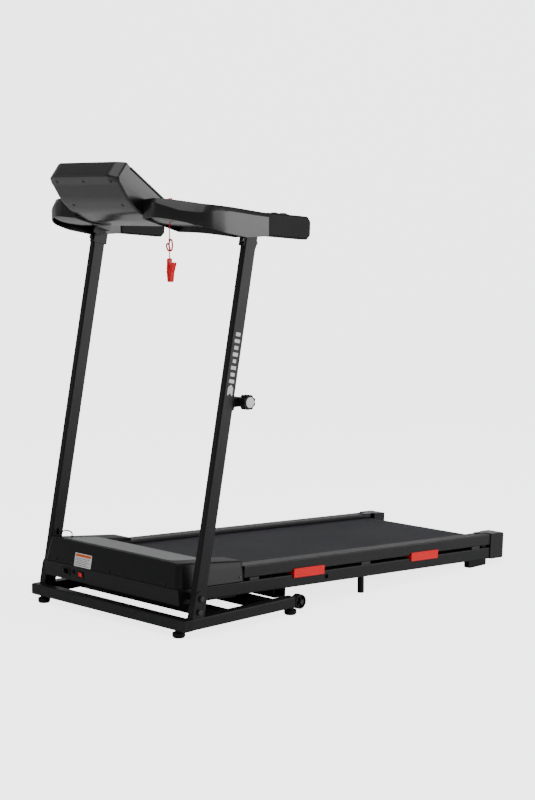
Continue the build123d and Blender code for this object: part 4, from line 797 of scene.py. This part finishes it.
# %% Grip buttons: each key's top rises in two humps with a valley between them
GRIP_X, GRIP_BEHIND, GRIP_Z, GRIP_TILT = 294.5, 300.0, 1056.0, 0.05
KEY_START, KEY_END, KEY_LOW, KEY_TOP, KEY_HUMP = 30.0, 95.0, 23.2, 29.5, 3.6
along = np.linspace(KEY_START, KEY_END, 41)
wave = np.cos(4 * math.pi * (along - KEY_START) / (KEY_END - KEY_START))
key_top_line = KEY_TOP + KEY_HUMP * 0.5 * (1 - wave)
key_view = np.vstack([
    np.column_stack([along[::-1], key_top_line[::-1]]), [(KEY_START, KEY_LOW), (KEY_END, KEY_LOW)],
])
for side, name in ((1, "left"), (-1, "right")):

    def on_grip(u, v, w, side=side):
        """On a grip: u rearwards along its tube, v up from the tube's middle, w across."""
        behind = GRIP_BEHIND + u + GRIP_TILT * v
        return on_floor(np.stack([side * GRIP_X + w, behind, GRIP_Z + v - GRIP_TILT * u], -1))

    key = soft_prism(key_view, -8.6, 8.6, 2.0, on_grip)
    make_piece(f"grip_buttons_{name}", *key, "grey_plastic", f"grip_key_{name}", [f"grip_key_{name}"])

# %% Cable from the right upright to the hood
CABLE = 0.0018
CABLE_X = -313.25
HOOD_TILT = SLOPE + 0.054


def upright_line(x, z):
    """A point on an upright's centre line at a height, moved across to x."""
    return on_floor((x, UPRIGHT_FOOT_BEHIND + z * math.tan(LEAN), z))


cable_entry = on_deck((-238.0, 16.0, 83.4))
entry_rise = np.array([0, math.sin(HOOD_TILT), math.cos(HOOD_TILT)]) * MM
cable_points = [
    upright_line(CABLE_X, 231.8),
    upright_line(CABLE_X, 208.0),
    upright_line(-306.0, 192.0),
    on_floor((-285.0, 77.5, 191.0)),
    on_floor((-262.0, 78.5, 198.0)),
    cable_entry + 12.0 * entry_rise,
    cable_entry - 9.0 * entry_rise,
]
bridge = tube_along(smooth_line(cable_points, 56), CABLE)
bridge_piece = make_piece("cable_to_hood", *bridge, "black_rubber", None, ["cable_bridge"])
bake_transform(bridge_piece)

# %% Lanyard bow and clip
HANG_X, HANG_Y = 0.180, at(81)
BOW_CORD = 0.0021
IN_VIEW = np.array([0.707, 0.707, 0.0])
TO_EYE = np.array([0.707, -0.707, 0.0])


def hang(u, w, z):
    """A point beside the hanging line: u across, w towards the front, z up, in millimetres."""
    return np.array([HANG_X, HANG_Y, 0.0]) + (IN_VIEW * u + TO_EYE * w) * MM + np.array([0, 0, z * MM])


loop_a, loop_b = [], []
for a in np.linspace(0, 2 * math.pi, 48, endpoint=False):
    loop_a.append(hang(3.4 - 4.2 * math.cos(a), 1.5 + 0.8 * math.sin(a), 1003.2 + 14.5 * math.sin(a)))
    loop_b.append(hang(-3.6 + 3.6 * math.cos(a) - 1.5 * math.sin(a), -1.2, 998.0 + 9.0 * math.sin(a)))
wraps = [
    ball(hang(0, 0, 1016.5), (0.0034, 0.0034, 0.0030)),
    ball(hang(0.5, 0.5, 989.5), (0.0036, 0.0034, 0.0028)),
]
bow = join([tube_along(loop_a, BOW_CORD, True), tube_along(loop_b, BOW_CORD, True), *wraps])
bow_piece = make_piece("lanyard_knot", *bow, "red_cord", "safety_key", ["lanyard_bow"])


CLIP_TOP = 970.0
CLIP_HALF = 7.0
CLIP_FIXED = [(3.0, 30), (3.0, 62), (-2.0, 62), (-5.5, 36), (-3.5, 2), (0.0, 0), (3.0, 3)]
CLIP_MOVING = [(3.6, 30), (3.6, 62), (8.5, 62), (12.0, 38), (21.0, 13), (17.0, 10)]


def on_clip(u, v, w):
    """Clip outline points: u along +X, v the drop from the clip's top, w across it."""
    return on_floor(np.stack([180.0 + u, 81.0 + w, CLIP_TOP - v], -1))


for name, outline, body, node in (
    ("clip_fixed_jaw", CLIP_FIXED, "safety_key", "clip_jaw_fixed"),
    ("clip_pinch_jaw", CLIP_MOVING, "clip_jaw", "clip_jaw_moving"),
):
    loop = rounded_loop(outline, 2.2, 5)
    jaw = soft_prism(loop, -CLIP_HALF, CLIP_HALF, 1.4, on_clip)
    make_piece(name, *jaw, "red_plastic", body, [node])

# %% White face of the lock's knob
LOCK_BEHIND, LOCK_Z = 213.0, 597.0
KNOB_FACE, KNOB_FACE_X = 14.0, (341.0, 342.8)


def on_lock(u, v, w):
    """Round the lock's axis: u rearwards, v up, w along +X."""
    return on_floor(np.stack([w, LOCK_BEHIND + u, LOCK_Z + v], -1))


disc = soft_prism(circle_loop(KNOB_FACE), *KNOB_FACE_X, 0.8, on_lock)
make_piece("lock_knob_face", *disc, "white_plastic", "lock_pull")

# %% Hood label: white card with an orange header, and grey lines in place of words
LABEL_LINES, LINE_START, LINE_STEP, LINE_TALL = 5, 5.0, 4.6, 1.2


def on_hood_front(u, v, w):
    """On the hood's front: u across, v up from the seam, w out of it."""
    s = HOOD_FRONT + FRONT_DRAFT * v - w
    return on_deck(np.stack([u, s, SEAM + v], -1))


card = rounded_loop([(-148, 1.5), (-76, 1.5), (-76, 38), (-148, 38)], 2.0, 4)
header = rounded_loop([(-145, 29), (-79, 29), (-79, 36), (-145, 36)], 0.8, 4)
make_piece("hood_label", *soft_prism(card, 0.05, 0.35, 0.1, on_hood_front), "white_print", "deck")
make_piece("hood_label_header", *soft_prism(header, 0.3, 0.5, 0.05, on_hood_front), "orange_print", "deck")
label_lines = []
for k in range(LABEL_LINES):
    low = LINE_START + LINE_STEP * k
    high = low + LINE_TALL
    end = -84.0 - 9.0 * (k % 2)
    bar = rounded_loop([(-143, low), (end, low), (end, high), (-143, high)], 0.4, 3)
    label_lines.append(soft_prism(bar, 0.3, 0.42, 0.02, on_hood_front))
make_piece("hood_label_lines", *join(label_lines), "grey_plastic", "deck")

# %% Marks on the left upright: a chevron and plain bars up its outer face
UPRIGHT_OUTER = 317.0
MARK_START, MARK_STEP, MARK_TALL = 662.0, 17.5, 9.5
MARK_HALVES = (9, 7, 9, 6, 9, 7, 9, 8)
MARK_LOW, MARK_HIGH, MARK_EDGE = 0.03, 0.18, 0.05


def on_upright_side(u, v, w):
    """On the left upright's outer face: u rearwards across it, v up along it, w out of it."""
    z = v * math.cos(LEAN) - u * math.sin(LEAN)
    behind = UPRIGHT_FOOT_BEHIND + v * math.sin(LEAN) + u * math.cos(LEAN)
    return on_floor(np.stack([UPRIGHT_OUTER + w, behind, z], -1))


marks = []
for k, half in enumerate(MARK_HALVES):
    low = MARK_START + MARK_STEP * k
    high = low + MARK_TALL
    bar = rounded_loop([(-half, low), (half, low), (half, high), (-half, high)], 1.5, 4)
    marks.append(soft_prism(bar, MARK_LOW, MARK_HIGH, MARK_EDGE, on_upright_side))
chevron = rounded_loop([(-9, 628), (0, 636), (9, 628), (9, 650), (0, 658), (-9, 650)], 0.8, 4)
marks.append(soft_prism(chevron, MARK_LOW, MARK_HIGH, MARK_EDGE, on_upright_side))
make_piece("upright_marks", *join(marks), "white_print", "base")

# %% Transport wheels: a tread ring, a web and five spokes round a hub
WHEEL_BEHIND, WHEEL_Z = 428.0, 32.0
SPOKES = 5
for side, name in ((1, "left"), (-1, "right")):

    def on_wheel(u, v, w, side=side):
        """Across the wheel: u rearwards, v up, w outwards along its axle."""
        return on_floor(np.stack([side * w, WHEEL_BEHIND + u, WHEEL_Z + v], -1))

    solids = [soft_prism(circle_loop(20.5, 56), 297, 312, 2.5, on_wheel)]
    rim_outer, rim_inner = circle_loop(20.2, 56), circle_loop(15.5, 56)
    n = len(rim_outer)
    ring = np.concatenate([on_wheel(*loop.T, np.full(n, w)) for loop, w in (
        (rim_outer, 305), (rim_outer, 317), (circle_loop(19.2, 56), 318.6),
        (circle_loop(16.6, 56), 318.6), (rim_inner, 317), (rim_inner, 305),
    )])
    solids.append((ring, grid_faces(6, n, close_rows=True, close_columns=True)))
    for k in range(SPOKES):
        a = 2 * math.pi * k / SPOKES + math.pi / 2
        along, across = np.array([math.cos(a), math.sin(a)]), np.array([-math.sin(a), math.cos(a)])
        root, tip = along * 5, along * 16.2
        thick, thin = across * 2.6, across * 1.6
        corners = [root - thick, tip - thin, tip + thin, root + thick]
        solids.append(soft_prism(rounded_loop(corners, 0.4, 3), 310, 316.5, 0.8, on_wheel))
    hub_outer, hub_inner = circle_loop(7.2, 40), circle_loop(4.2, 40)
    n = len(hub_outer)
    ring = np.concatenate([on_wheel(*loop.T, np.full(n, w)) for loop, w in (
        (hub_outer, 309), (hub_outer, 317.6), (circle_loop(6.6, 40), 318.4),
        (hub_inner, 318.4), (hub_inner, 309),
    )])
    solids.append((ring, grid_faces(5, n, close_rows=True, close_columns=True)))
    body = f"wheel_{name}"
    make_piece(f"transport_wheel_{name}", *join(solids), "wheel_plastic", body, [body])

# %% [markdown]
# ## Stage and light
# A pale floor with a curved backdrop that looks bright to the camera, a wide soft light over the
# machine, a weak one from the front, and two at the side that the glossy side faces mirror.

# %% Stage
BACKDROP_GLOW = 3.0
WORLD_GLOW = 0.3
floor_mesh = bpy.data.meshes.new("floor")
sweep = np.linspace(0, math.pi / 2, 17)
line = [(-9.0, 0.0)] + [(4.5 + 2.5 * math.sin(a), 2.5 - 2.5 * math.cos(a)) for a in sweep] + [(7.0, 9.0)]
away = np.array([-0.707, 0.707])
aside = np.array([0.707, 0.707])
floor_points = []
for d, z in line:
    for w in (-12.0, 12.0):
        p = away * d + aside * w
        floor_points.append((p[0], p[1], z))
floor_mesh.from_pydata(floor_points, [], grid_faces(len(line), 2))
floor = bpy.data.objects.new("floor", floor_mesh)
for polygon in floor_mesh.polygons:
    polygon.use_smooth = True
bpy.context.scene.collection.objects.link(floor)
floor_material, tree, shader, node = finish("floor_paper", (0.93, 0.93, 0.93), 0.9, 0.0, 200.0, 0.0, 0.0)
floor_mesh.materials.append(floor_material)
seen = tree.nodes.new("ShaderNodeLightPath").outputs["Is Camera Ray"]
shader.inputs["Emission Color"].default_value = (1, 1, 1, 1)
tree.links.new(math_node(tree, "MULTIPLY", seen, BACKDROP_GLOW), shader.inputs["Emission Strength"])

world = bpy.data.worlds.new("world")
world.use_nodes = True
world.node_tree.nodes["Background"].inputs["Color"].default_value = (1, 1, 1, 1)
world.node_tree.nodes["Background"].inputs["Strength"].default_value = WORLD_GLOW
bpy.context.scene.world = world


def area_light(name, place, target, size, power):
    """A square soft light that points at a target."""
    data = bpy.data.lights.new(name, "AREA")
    data.shape = "RECTANGLE"
    data.size, data.size_y = size
    data.energy = power
    light = bpy.data.objects.new(name, data)
    light.location = place
    light.rotation_euler = (Vector(target) - Vector(place)).to_track_quat("-Z", "Y").to_euler()
    bpy.context.scene.collection.objects.link(light)


area_light("key", (0.5, -1.5, 4.2), (0, 0, 0.4), (4.0, 4.0), 95)
area_light("front_fill", (-3.2, -3.6, 2.0), (0, -0.3, 0.6), (2.5, 2.5), 7)
area_light("side_strip", (4.0, 1.2, 2.0), (0, -0.2, 0.7), (1.5, 3.0), 40)
area_light("side_sheet", (3.6, 3.4, 1.0), (0, -0.2, 0.8), (3.0, 3.0), 125)
print("stage and lights set")
